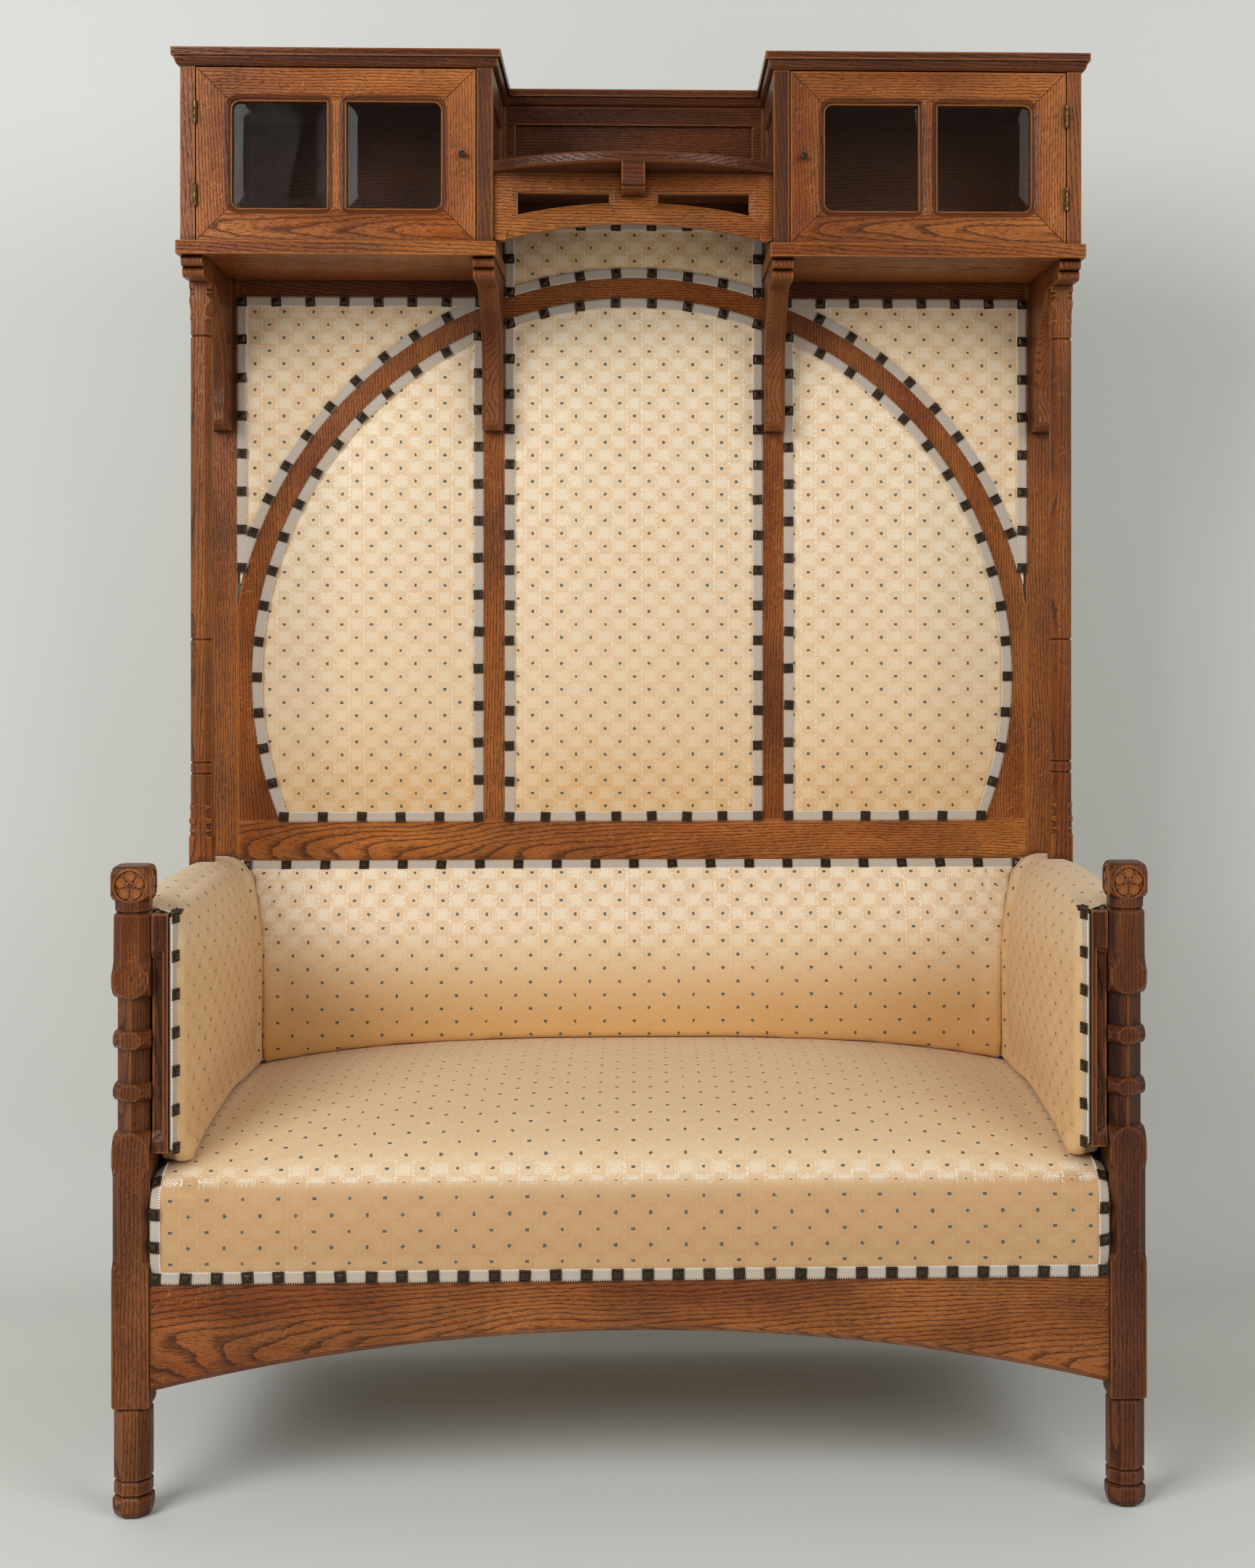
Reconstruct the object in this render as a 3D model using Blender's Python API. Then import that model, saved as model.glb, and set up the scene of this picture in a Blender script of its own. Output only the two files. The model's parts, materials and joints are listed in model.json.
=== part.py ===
"""Tall oak hall settle: padded seat, high arms, a circle of back panels, glazed cabinets above.

Sizes are in metres, +Z is up and the front faces -Y. The origin lies on the floor, under the
middle of the settle. Every piece is its own object. Only the two cabinet doors move, and their
pieces hang from empties on the hinge axes.
"""

import functools
import math

import bmesh
import bpy

# Fits between pieces and the overrun of cutting shapes
GAP = 0.0003
OVERRUN = 0.004

# The whole settle, its back frame and its floor-standing posts
SETTLE_WIDTH = 1.430
SETTLE_DEPTH = 0.708
STILE_WIDTH = 0.053
STILE_DEPTH = 0.033
BACK_BOARD_DEPTH = 0.025
POST_RISE = 0.074
POST_SIZE = 0.051
ROSETTE_BLOCK_SIZE = 0.053

# Seat rails and the arm frames
RAIL_TOP = 0.323
RAIL_HEIGHT = 0.151
RAIL_SETBACK = 0.006
FRONT_RAIL_DEPTH = 0.030
FRONT_RAIL_ARCH_RISE = 0.078
FRONT_RAIL_CHAMFER = 0.009
REAR_RAIL_DEPTH = 0.028
DECK_THICKNESS = 0.012
ARM_FRAME_HEIGHT = 0.822
ARM_CORE_THICKNESS = 0.027
ARM_RAIL_WIDTH = 0.0415
ARM_RAIL_HEIGHT = 0.032
SIDE_RAIL_THICKNESS = 0.041
STUMP_WIDTH = 0.023
STUMP_DEPTH = 0.046
STUMP_SETBACK = 0.013
STUMP_RISE = 0.007
STUMP_LENGTH = 0.329
STUMP_HOLLOW_DEPTH = 0.008
STUMP_HOLLOW_TOP_MARGIN = 0.064
STUMP_HOLLOW_BOTTOM_MARGIN = 0.030
STUMP_HOLLOW_SLOPE = 0.014

# Back frame: mid rail, muntins, and the circle of curved rails
MID_RAIL_RISE = 0.005
MID_RAIL_HEIGHT = 0.065
CENTER_OPENING_WIDTH = 0.4312
MUNTIN_WIDTH = 0.0374
CIRCLE_REVEAL = 0.025
CIRCLE_CENTER_RISE = 0.240
ARCH_RAIL_WIDTH = 0.036
CORNER_TIP_HEIGHT = 0.0134
TOP_RAIL_DROP = 0.029

# Cabinets and their cornice
CABINET_DEPTH = 0.270
CABINET_INSET = 0.0125
CABINET_REVEAL = 0.0032
CABINET_FLOOR_THICKNESS = 0.021
CABINET_FLOOR_LIP = 0.013
CABINET_FLOOR_SIDE_LIP = 0.005
CABINET_HEIGHT = 0.272
CABINET_OUTER_THICKNESS = 0.0227
CABINET_INNER_THICKNESS = 0.025
SIDE_PANEL_MARGIN = 0.045
SIDE_PANEL_RECESS = 0.005
SIDE_PANEL_BEVEL = 0.004
CORNICE_HEIGHT = 0.027
CORNICE_OVERHANG = 0.0125
CORNICE_FILLET = 0.012
CORNICE_STEP = 0.004

# Doors, glass, knobs and hinges
DOOR_GAP = 0.002
DOOR_THICKNESS = 0.022
DOOR_STILE_WIDTH = 0.054
DOOR_RAIL_WIDTH = 0.051
DOOR_MULLION_WIDTH = 0.030
DOOR_MOULDING_WIDTH = 0.010
DOOR_MOULDING_DEPTH = 0.006
PANE_CORNER_RADIUS = 0.012
PANE_INNER_RADIUS = 0.0015
GLASS_GROOVE_SETBACK = 0.010
GLASS_THICKNESS = 0.005
GLASS_SEAT = 0.005
GLASS_BEVEL_WIDTH = 0.022
GLASS_BEVEL_DEPTH = 0.0022
KNOB_DIAMETER = 0.011
KNOB_LENGTH = 0.012
KNOB_EDGE_DISTANCE = 0.020
KNOB_FACETS = 14
HINGE_LENGTH = 0.035
HINGE_KNUCKLE_DIAMETER = 0.006
HINGE_PIN_DIAMETER = 0.003
HINGE_PIN_CLEARANCE = 0.0003
HINGE_LEAF_DEPTH = 0.016
HINGE_LEAF_THICKNESS = 0.0006
HINGE_END_DISTANCE = 0.052
HINGE_PROUD = 0.0004
HINGE_FACETS = 12

# Gallery between the cabinets
SHELF_RISE = 0.111
SHELF_THICKNESS = 0.017
SHELF_BOW = 0.084
SHELF_EDGE_ROUND = 0.003
CORBEL_WIDTH = 0.036
CORBEL_HEIGHT = 0.037
CORBEL_FACE_HEIGHT = 0.023
CORBEL_SETBACK = 0.002
CORBEL_STEP = 0.004
APRON_HEIGHT = 0.106
APRON_THICKNESS = 0.018
APRON_SETBACK = 0.007
APRON_EAR_WIDTH = 0.0215
APRON_EAR_DROP = 0.004
APRON_EAR_RADIUS = 0.007
APRON_ARCH_RISE = 0.024
APRON_ARCH_CHAMFER = 0.011
APRON_ARCH_CHAMFER_DEPTH = 0.006
SLOT_RAIL_HEIGHT = 0.0324
SLOT_TOP_MARGIN = 0.031
SLOT_INNER = 0.0386
SLOT_OUTER = 0.1806
SLOT_BORDER = 0.009
SLOT_BORDER_DEPTH = 0.005
GALLERY_RAIL_DROP = 0.032
GALLERY_FRAME_WIDTH = 0.017
GALLERY_PANEL_TOP_MARGIN = 0.031
GALLERY_PANEL_RECESS = 0.006

# Columns and brackets under the cabinets
COLUMN_SIZE = 0.035
COLUMN_REACH = 0.180
BRACKET_WIDTH = 0.033
BRACKET_HEIGHT = 0.253
BRACKET_HEAD_HEIGHT = 0.032
BRACKET_HEAD_REACH = 0.268
BRACKET_ROLL_STEP = 0.012
BRACKET_CHAMFER = 0.007
BRACKET_SEAT_CLEARANCE = 0.004

# Padded pieces
SEAT_SETBACK = 0.005
SEAT_FRONT_HEIGHT = 0.133
SEAT_FRONT_ROUND = 0.016
SEAT_FRONT_BELLY = 0.004
SEAT_CROWN_CENTER = 0.100
SEAT_CROWN_SIDE = 0.051
BACK_PAD_BOTTOM_DEPTH = 0.062
BACK_PAD_TOP_DEPTH = 0.006
BACK_PAD_BULGE = 0.072
BACK_PAD_END_CLEARANCE = 0.006
ARM_PAD_WIDTH = 0.051
ARM_PAD_BULGE = 0.006
ARM_PAD_HEIGHT = 0.029
ARM_PAD_REAR_HEIGHT = 0.011
ARM_PAD_FRONT_HEIGHT = 0.006
ARM_PAD_LEAN = 0.060
ARM_PAD_FRONT_LEAN = 0.026
ARM_PAD_LEAN_HEIGHT = 0.163
ARM_PAD_FRONT_LEAN_HEIGHT = 0.040
ARM_PAD_SHOULDER = 0.022
ARM_PAD_COVER = 0.0045
ARM_PAD_FRONT_SETBACK = 0.020
ARM_PAD_FRONT_ROUND = 0.036
ARM_PAD_FRONT_NOSE = 0.006
PANEL_EDGE_SETBACK = 0.004
PANEL_CROWN = 0.016
GIMP_WIDTH = 0.015
GIMP_THICKNESS = 0.0012

# Carving stations of a post: shares of its height, of its half size, and of that half's flat face
POST_SHARES = (
    (0.0000, 0.78, 0.36),
    (0.0040, 0.94, 0.42),
    (0.0141, 1.03, 0.46),
    (0.0292, 1.04, 0.46),
    (0.0324, 0.96, 0.42),
    (0.0347, 0.86, 0.38),
    (0.0369, 0.98, 0.42),
    (0.0534, 0.98, 0.42),
    (0.0556, 0.94, 0.42),
    (0.0579, 0.86, 0.38),
    (0.0602, 0.98, 0.42),
    (0.1621, 0.98, 0.42),
    (0.1651, 0.96, 0.42),
    (0.1676, 0.86, 0.42),
    (0.1701, 0.98, 0.90),
    (0.1752, 1.00, 0.96),
    (0.3805, 1.00, 0.96),
    (0.3876, 1.00, 0.80),
    (0.3946, 1.00, 0.62),
    (0.5235, 1.00, 0.62),
    (0.5295, 1.00, 0.72),
    (0.5416, 1.00, 0.98),
    (0.5597, 1.00, 0.97),
    (0.5728, 1.00, 0.85),
    (0.5829, 1.00, 0.60),
    (0.5889, 0.98, 0.34),
    (0.5924, 0.87, 0.03),
    (0.6382, 0.87, 0.03),
    (0.6408, 0.98, 0.30),
    (0.6473, 1.01, 0.55),
    (0.6574, 1.01, 0.55),
    (0.6644, 0.98, 0.30),
    (0.6679, 0.87, 0.03),
    (0.7178, 0.87, 0.03),
    (0.7203, 0.98, 0.30),
    (0.7273, 1.01, 0.55),
    (0.7374, 1.01, 0.55),
    (0.7450, 0.98, 0.30),
    (0.7480, 0.87, 0.03),
    (0.7953, 0.87, 0.03),
    (0.7988, 0.98, 0.34),
    (0.8044, 1.01, 0.62),
    (0.8134, 1.01, 0.87),
    (0.8255, 1.01, 0.98),
    (0.8346, 1.01, 0.93),
    (0.8426, 1.00, 0.66),
    (0.8537, 1.00, 0.46),
    (0.9241, 0.98, 0.46),
    (0.9263, 0.92, 0.42),
    (0.9286, 0.84, 0.38),
    (0.9308, 0.91, 0.42),
    (0.9459, 0.93, 0.44),
    (0.9487, 1.01, 0.62),
    (0.9554, 1.04, 0.93),
    (0.9890, 1.04, 0.94),
    (0.9965, 0.98, 0.86),
    (1.0000, 0.85, 0.70),
)

# Carving stations of a column: shares of its length, of its half size, and of its flat face
COLUMN_SHARES = (
    (0.0000, 1.00, 0.97),
    (0.0680, 1.00, 0.97),
    (0.0700, 0.98, 0.56),
    (0.0765, 0.97, 0.52),
    (0.0790, 0.99, 0.92),
    (0.0815, 0.97, 0.56),
    (0.0895, 0.97, 0.50),
    (0.0925, 0.99, 0.95),
    (0.0985, 0.98, 0.95),
    (0.1010, 0.97, 0.50),
    (0.1120, 0.96, 0.48),
    (0.1190, 0.96, 0.90),
    (0.1230, 0.95, 0.42),
    (0.1720, 0.95, 0.42),
    (0.1745, 0.82, 0.36),
    (0.1770, 0.95, 0.42),
    (0.1905, 0.95, 0.42),
    (0.1930, 0.82, 0.36),
    (0.1955, 0.95, 0.42),
    (0.3975, 0.95, 0.42),
    (0.4000, 0.82, 0.36),
    (0.4025, 0.95, 0.42),
    (0.9080, 0.95, 0.42),
    (0.9105, 0.82, 0.36),
    (0.9130, 0.95, 0.42),
    (0.9350, 0.95, 0.42),
    (0.9380, 0.95, 0.62),
    (0.9420, 0.96, 0.80),
    (0.9440, 0.96, 0.46),
    (0.9540, 0.97, 0.46),
    (0.9620, 0.98, 0.66),
    (0.9690, 1.00, 0.97),
    (0.9750, 1.00, 0.76),
    (0.9800, 0.99, 0.48),
    (0.9845, 0.99, 0.78),
    (0.9880, 0.99, 0.50),
    (0.9905, 1.00, 0.97),
    (1.0000, 1.00, 0.97),
)

# A turned knob: shares of its length in front of the door, and of its radius
KNOB_SHARES = (
    (0.000, 0.64),
    (0.125, 0.64),
    (0.200, 0.45),
    (0.500, 0.45),
    (0.625, 0.94),
    (0.750, 1.00),
    (0.875, 0.86),
    (1.000, 0.40),
)

# Front curve of a bracket: shares of its seat reach and of its height below the head
BRACKET_SHARES = (
    (0.252, 0.000),
    (0.347, 0.068),
    (0.284, 0.249),
    (0.315, 0.430),
    (0.416, 0.611),
    (0.618, 0.792),
    (0.883, 0.928),
    (1.000, 1.000),
)

# Rows of the seat from front to back, and of the lower back and arm pads, as shares of their spans
SEAT_ROW_SHARES = (0.0, 0.03, 0.09, 0.17, 0.29, 0.45, 0.64, 0.82, 1.0)
SEAT_COLUMN_SHARES = (-1.0, -0.94, -0.84, -0.7, -0.5, -0.25, 0.0, 0.25, 0.5, 0.7, 0.84, 0.94, 1.0)
SEAT_CROWN_POWER = 3.2

# The seat's top from the side: shares of its depth and of its crown
SEAT_PROFILE_SHARES = (
    (0.00, 0.00),
    (0.05, 0.315),
    (0.11, 0.51),
    (0.18, 0.66),
    (0.25, 0.77),
    (0.39, 0.915),
    (0.61, 1.00),
    (1.00, 0.82),
)

# The arm pad's inner face: shares of its leaning height from the top down, and of its lean
ARM_PAD_LEAN_SHARES = ((0.0, 1.0), (0.055, 0.66), (0.20, 0.38), (0.52, 0.18), (1.0, 0.0))
BACK_PAD_SHARES = ((0.10, 0.96), (0.30, 1.00), (0.52, 0.95), (0.74, 0.74), (0.90, 0.38))
ARM_PAD_FRONT_SHARES = (0.0, 0.3, 0.6, 1.0)
ARM_PAD_ARCH_POWER = 0.6
PANEL_CROWN_SHARES = ((0.18, 0.42), (0.45, 0.75), (1.0, 1.0))

# Edges sharper than this many degrees stay sharp on round and soft pieces
SHARP_ANGLE = 45

# Steps along the circle's arcs, enough to keep their facets within the fit of neighbouring pieces
WING_STEPS = 32
CORNER_STEPS = 22
CENTER_STEPS = 16

# Planes and places that follow from the sizes above
HALF_WIDTH = SETTLE_WIDTH / 2
FRONT = -SETTLE_DEPTH / 2
BACK = SETTLE_DEPTH / 2
BACK_PLANE = BACK - STILE_DEPTH
BACK_BOARD_REAR = BACK_PLANE + BACK_BOARD_DEPTH
STILE_INNER = HALF_WIDTH - STILE_WIDTH
POST_X = HALF_WIDTH - ROSETTE_BLOCK_SIZE / 2
POST_Y = FRONT + ROSETTE_BLOCK_SIZE / 2
POST_INNER = POST_X - ROSETTE_BLOCK_SIZE / 2
POST_REAR = POST_Y + ROSETTE_BLOCK_SIZE / 2
POST_HEIGHT = ARM_FRAME_HEIGHT + POST_RISE
STUMP_TOP = ARM_FRAME_HEIGHT + STUMP_RISE
STUMP_BOTTOM = STUMP_TOP - STUMP_LENGTH
STUMP_HOLLOW_TOP = STUMP_TOP - STUMP_HOLLOW_TOP_MARGIN
STUMP_HOLLOW_BOTTOM = STUMP_BOTTOM + STUMP_HOLLOW_BOTTOM_MARGIN
RAIL_BOTTOM = RAIL_TOP - RAIL_HEIGHT
FRONT_RAIL_FACE = FRONT + RAIL_SETBACK
MID_RAIL_BOTTOM = ARM_FRAME_HEIGHT + MID_RAIL_RISE
MID_RAIL_TOP = MID_RAIL_BOTTOM + MID_RAIL_HEIGHT
CENTER_HALF = CENTER_OPENING_WIDTH / 2
MUNTIN_OUTER = CENTER_HALF + MUNTIN_WIDTH
MUNTIN_X = CENTER_HALF + MUNTIN_WIDTH / 2
CIRCLE_Z = MID_RAIL_TOP + CIRCLE_CENTER_RISE
CIRCLE_RADIUS = STILE_INNER - CIRCLE_REVEAL
CIRCLE_OUTER = CIRCLE_RADIUS + ARCH_RAIL_WIDTH
CORNER_TIP = CIRCLE_Z + math.sqrt(CIRCLE_OUTER**2 - MUNTIN_OUTER**2)
TOP_RAIL_BOTTOM = CORNER_TIP + CORNER_TIP_HEIGHT
CABINET_BOTTOM = TOP_RAIL_BOTTOM + TOP_RAIL_DROP
CABINET_FRONT = BACK_PLANE - CABINET_DEPTH
CABINET_OUTER = HALF_WIDTH - CABINET_INSET
CABINET_INNER = CENTER_HALF + CABINET_REVEAL
CABINET_FLOOR_TOP = CABINET_BOTTOM + CABINET_FLOOR_THICKNESS
CABINET_TOP = CABINET_FLOOR_TOP + CABINET_HEIGHT
SETTLE_HEIGHT = CABINET_TOP + CORNICE_HEIGHT
OUTER_SIDE_FACE = CABINET_OUTER - CABINET_OUTER_THICKNESS
INNER_SIDE_FACE = CABINET_INNER + CABINET_INNER_THICKNESS
DOOR_OUTER = OUTER_SIDE_FACE - DOOR_GAP
DOOR_INNER = INNER_SIDE_FACE + DOOR_GAP
DOOR_BOTTOM = CABINET_FLOOR_TOP + DOOR_GAP
DOOR_TOP = CABINET_TOP - DOOR_GAP
HINGE_X = OUTER_SIDE_FACE - DOOR_GAP / 2
HINGE_Y = CABINET_FRONT - HINGE_KNUCKLE_DIAMETER / 2 - HINGE_PROUD
SHELF_BOTTOM = CABINET_FLOOR_TOP + SHELF_RISE
GALLERY_RAIL_BOTTOM = SHELF_BOTTOM - GALLERY_RAIL_DROP
COLUMN_X = POST_INNER + ARM_RAIL_WIDTH - COLUMN_SIZE / 2
COLUMN_Y = BACK_PLANE - COLUMN_REACH
BRACKET_SEAT_REACH = COLUMN_REACH - COLUMN_SIZE / 2 - BRACKET_SEAT_CLEARANCE
SEAT_FRONT = FRONT + SEAT_SETBACK
SEAT_EDGE_TOP = RAIL_TOP + SEAT_FRONT_HEIGHT
ARM_PAD_INNER = POST_INNER - ARM_PAD_WIDTH
BACK_PAD_FOOT = BACK_PLANE - BACK_PAD_BOTTOM_DEPTH
SIDES = ((-1, "left"), (1, "right"))


def clear_scene():
    for old in list(bpy.data.objects):
        bpy.data.objects.remove(old, do_unlink=True)


def linear(channel):
    if channel <= 0.04045:
        return channel / 12.92
    return ((channel + 0.055) / 1.055) ** 2.4


def finish(name, hex_colour, roughness, metallic=0.0, alpha=1.0):
    """A Principled material with an sRGB colour."""
    material = bpy.data.materials.new(name)
    material.use_nodes = True
    shader = material.node_tree.nodes["Principled BSDF"]
    parts = [int(hex_colour[i : i + 2], 16) / 255 for i in (0, 2, 4)]
    shader.inputs["Base Color"].default_value = [linear(part) for part in parts] + [1.0]
    shader.inputs["Roughness"].default_value = roughness
    shader.inputs["Metallic"].default_value = metallic
    shader.inputs["Alpha"].default_value = alpha
    return material


def place(name, bm, material, parent=None):
    """Turns a closed bmesh into a named object with its faces outwards."""
    bmesh.ops.recalc_face_normals(bm, faces=bm.faces)
    mesh = bpy.data.meshes.new(name)
    bm.to_mesh(mesh)
    bm.free()
    obj = bpy.data.objects.new(name, mesh)
    bpy.context.scene.collection.objects.link(obj)
    if material is not None:
        mesh.materials.append(material)
    if parent is not None:
        obj.parent = parent
        obj.matrix_parent_inverse = parent.matrix_world.inverted()
    return obj


def loft(rings):
    """A closed bmesh through rings of equally many points, capped at both ends."""
    bm = bmesh.new()
    loops = [[bm.verts.new(point) for point in ring] for ring in rings]
    for lower, upper in zip(loops, loops[1:]):
        for i, corner in enumerate(lower):
            j = (i + 1) % len(lower)
            bm.faces.new((corner, lower[j], upper[j], upper[i]))
    bm.faces.new(loops[0])
    bm.faces.new(loops[-1])
    return bm


def rows_xy(outline, z):
    return [(x, y, z) for x, y in outline]


def rows_xz(outline, y):
    return [(x, y, z) for x, z in outline]


def rows_yz(outline, x):
    return [(x, y, z) for y, z in outline]


def box(low, high):
    outline = ((low[0], low[1]), (high[0], low[1]), (high[0], high[1]), (low[0], high[1]))
    return loft([rows_xy(outline, low[2]), rows_xy(outline, high[2])])


def spans(side, inner, outer):
    """The low and high X of a piece that lies between two distances from the middle."""
    return (inner, outer) if side > 0 else (-outer, -inner)


def side_box(side, x_span, y_span, z_span):
    low_x, high_x = spans(side, *x_span)
    return box((low_x, y_span[0], z_span[0]), (high_x, y_span[1], z_span[1]))


def arc(center, radius, start, end, steps):
    """Points on an arc from one angle to another, in degrees, both ends included."""
    angles = [math.radians(start + (end - start) * i / steps) for i in range(steps + 1)]
    return [
        (center[0] + radius * math.cos(angle), center[1] + radius * math.sin(angle))
        for angle in angles
    ]


def ring_of(radius, facets, center=(0, 0)):
    """Points once round a circle."""
    return arc(center, radius, 0, 360, facets)[:-1]


def smooth(points, steps):
    """A smooth curve through the points, with so many steps between two of them."""
    padded = [points[0], *points, points[-1]]
    curve = []
    for before, start, end, after in zip(padded, padded[1:], padded[2:], padded[3:]):
        for i in range(steps):
            t = i / steps
            curve.append(
                tuple(
                    0.5
                    * (
                        2 * b
                        + (c - a) * t
                        + (2 * a - 5 * b + 4 * c - d) * t * t
                        + (3 * b - a - 3 * c + d) * t * t * t
                    )
                    for a, b, c, d in zip(before, start, end, after)
                )
            )
    return [*curve, points[-1]]


def turned(name, profile, center, material, parent, facets, axis="Z"):
    """A round piece from a profile of distances along its axis and radii."""
    rings = []
    for along, radius in profile:
        ring = ring_of(radius, facets)
        if axis == "Z":
            rings.append([(center[0] + a, center[1] + b, center[2] + along) for a, b in ring])
        else:
            rings.append([(center[0] + a, center[1] + along, center[2] + b) for a, b in ring])
    obj = place(name, loft(rings), material, parent)
    obj.data.shade_smooth()
    obj.data.set_sharp_from_angle(angle=math.radians(SHARP_ANGLE))
    return obj


def join_modifier(obj, other, operation):
    modifier = obj.modifiers.new(operation.title(), "BOOLEAN")
    modifier.operation = operation
    modifier.solver = "EXACT"
    modifier.object = other
    other.hide_render = True
    other.display_type = "WIRE"


def cut(obj, bm):
    join_modifier(obj, place(obj.name + "_cutter", bm, None), "DIFFERENCE")


def fuse(obj, bm):
    join_modifier(obj, place(obj.name + "_addition", bm, None), "UNION")


def octagon(center, half, flat):
    """Eight corners of a square with its corners cut, so that a flat of each face is left."""
    corners = (
        (-flat, -half),
        (flat, -half),
        (half, -flat),
        (half, flat),
        (flat, half),
        (-flat, half),
        (-half, flat),
        (-half, -flat),
    )
    return [(center[0] + x, center[1] + y) for x, y in corners]


def carved_post(name, center, bottom, height, half, shares, material):
    """A square post whose corners are carved away to a different depth at each station."""
    rings = []
    for height_share, size_share, flat_share in shares:
        size = half * size_share
        ring = octagon(center, size, size * flat_share)
        rings.append(rows_xy(ring, bottom + height * height_share))
    return place(name, loft(rings), material)


def front_posts(oak):
    for side, word in SIDES:
        carved_post(
            "front_post_" + word,
            (side * POST_X, POST_Y),
            0,
            POST_HEIGHT,
            POST_SIZE / 2,
            POST_SHARES,
            oak,
        )


def sagitta_radius(half_span, rise):
    return (half_span**2 + rise**2) / (2 * rise)


def front_seat_rail(oak):
    """The rail under the seat, with an arched and chamfered lower edge."""
    half = POST_X - POST_SIZE / 2 - GAP
    radius = sagitta_radius(half, FRONT_RAIL_ARCH_RISE)
    top = RAIL_TOP - GAP
    crown = RAIL_BOTTOM + FRONT_RAIL_ARCH_RISE
    rings = []
    for y, lift in (
        (FRONT_RAIL_FACE, FRONT_RAIL_CHAMFER),
        (FRONT_RAIL_FACE + FRONT_RAIL_CHAMFER, 0),
        (FRONT_RAIL_FACE + FRONT_RAIL_DEPTH, 0),
    ):
        reach = math.degrees(math.asin(half / (radius + lift)))
        lower = arc((0, crown - radius), radius + lift, 90 - reach, 90 + reach, 24)
        rings.append(rows_xz([*lower, (-half, top), (half, top)], y))
    place("front_seat_rail", loft(rings), oak)


def arm_side_frames(oak):
    """Side seat rail, boarded arm core and arm rail in one glued frame, with the stump in front."""
    core = POST_INNER + ARM_CORE_THICKNESS
    rail_outer = POST_INNER + SIDE_RAIL_THICKNESS
    arm_outer = POST_INNER + ARM_RAIL_WIDTH
    arm_rail_bottom = ARM_FRAME_HEIGHT - ARM_RAIL_HEIGHT
    for side, word in SIDES:
        outline = [
            (side * x, z)
            for x, z in (
                (POST_INNER, RAIL_BOTTOM),
                (rail_outer, RAIL_BOTTOM),
                (rail_outer, RAIL_TOP),
                (core, RAIL_TOP),
                (core, arm_rail_bottom),
                (arm_outer, arm_rail_bottom),
                (arm_outer, ARM_FRAME_HEIGHT),
                (POST_INNER, ARM_FRAME_HEIGHT),
            )
        ]
        rings = [rows_xz(outline, POST_REAR + GAP), rows_xz(outline, BACK_PLANE - GAP)]
        frame = place("arm_side_frame_" + word, loft(rings), oak)
        fuse(frame, stump(side))
        cut(frame, stump_hollow(side))


def stump(side):
    """The board beside the post, long enough backwards to join the arm core."""
    front = FRONT + STUMP_SETBACK
    inner = POST_INNER - STUMP_WIDTH
    wall = POST_INNER - GAP
    root = POST_REAR + GAP
    rear = front + STUMP_DEPTH
    outline = (
        (inner, front),
        (wall, front),
        (wall, root),
        (POST_INNER + ARM_CORE_THICKNESS / 2, root),
        (POST_INNER + ARM_CORE_THICKNESS / 2, rear),
        (inner, rear),
    )
    outline = [(side * x, y) for x, y in outline]
    return loft([rows_xy(outline, STUMP_BOTTOM), rows_xy(outline, STUMP_TOP)])


def stump_hollow(side):
    """The sunk face of the stump, with sloping ends."""
    face = FRONT + STUMP_SETBACK
    floor = face + STUMP_HOLLOW_DEPTH
    outline = (
        (face - OVERRUN, STUMP_HOLLOW_BOTTOM - STUMP_HOLLOW_SLOPE),
        (face, STUMP_HOLLOW_BOTTOM - STUMP_HOLLOW_SLOPE),
        (floor, STUMP_HOLLOW_BOTTOM),
        (floor, STUMP_HOLLOW_TOP),
        (face, STUMP_HOLLOW_TOP + STUMP_HOLLOW_SLOPE),
        (face - OVERRUN, STUMP_HOLLOW_TOP + STUMP_HOLLOW_SLOPE),
    )
    inner = POST_INNER - STUMP_WIDTH * 2 / 3
    outer = POST_INNER + OVERRUN
    return loft([rows_yz(outline, side * inner), rows_yz(outline, side * outer)])


def rear_rail_and_deck(oak, webbing):
    """The rail behind the seat, and the webbing deck that carries the seat's stuffing."""
    half = STILE_INNER - GAP
    low = (-half, BACK_PLANE, RAIL_BOTTOM)
    place("rear_seat_rail", box(low, (half, BACK_PLANE + REAR_RAIL_DEPTH, RAIL_TOP)), oak)
    half = POST_INNER - GAP
    front = FRONT_RAIL_FACE + FRONT_RAIL_DEPTH + GAP
    low = (-half, front, RAIL_TOP - DECK_THICKNESS)
    place("seat_webbing_deck", box(low, (half, BACK_PLANE - GAP, RAIL_TOP)), webbing)


def back_frame(oak):
    """Stiles, which are also the rear legs, muntins and the mid rail."""
    for side, word in SIDES:
        stile = side_box(side, (STILE_INNER, HALF_WIDTH), (BACK_PLANE, BACK), (0, CABINET_TOP - GAP))
        place("back_stile_" + word, stile, oak)
        muntin = side_box(
            side,
            (CENTER_HALF, MUNTIN_OUTER),
            (BACK_PLANE, BACK_BOARD_REAR),
            (MID_RAIL_TOP + GAP, CABINET_TOP - GAP),
        )
        place("back_muntin_" + word, muntin, oak)
    half = STILE_INNER - GAP
    low = (-half, BACK_PLANE, MID_RAIL_BOTTOM)
    place("mid_rail", box(low, (half, BACK_BOARD_REAR, MID_RAIL_TOP)), oak)


def circle_angle(radius, x):
    """The angle in degrees at which the circle of this radius reaches this distance sideways."""
    return math.degrees(math.acos(x / radius))


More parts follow.
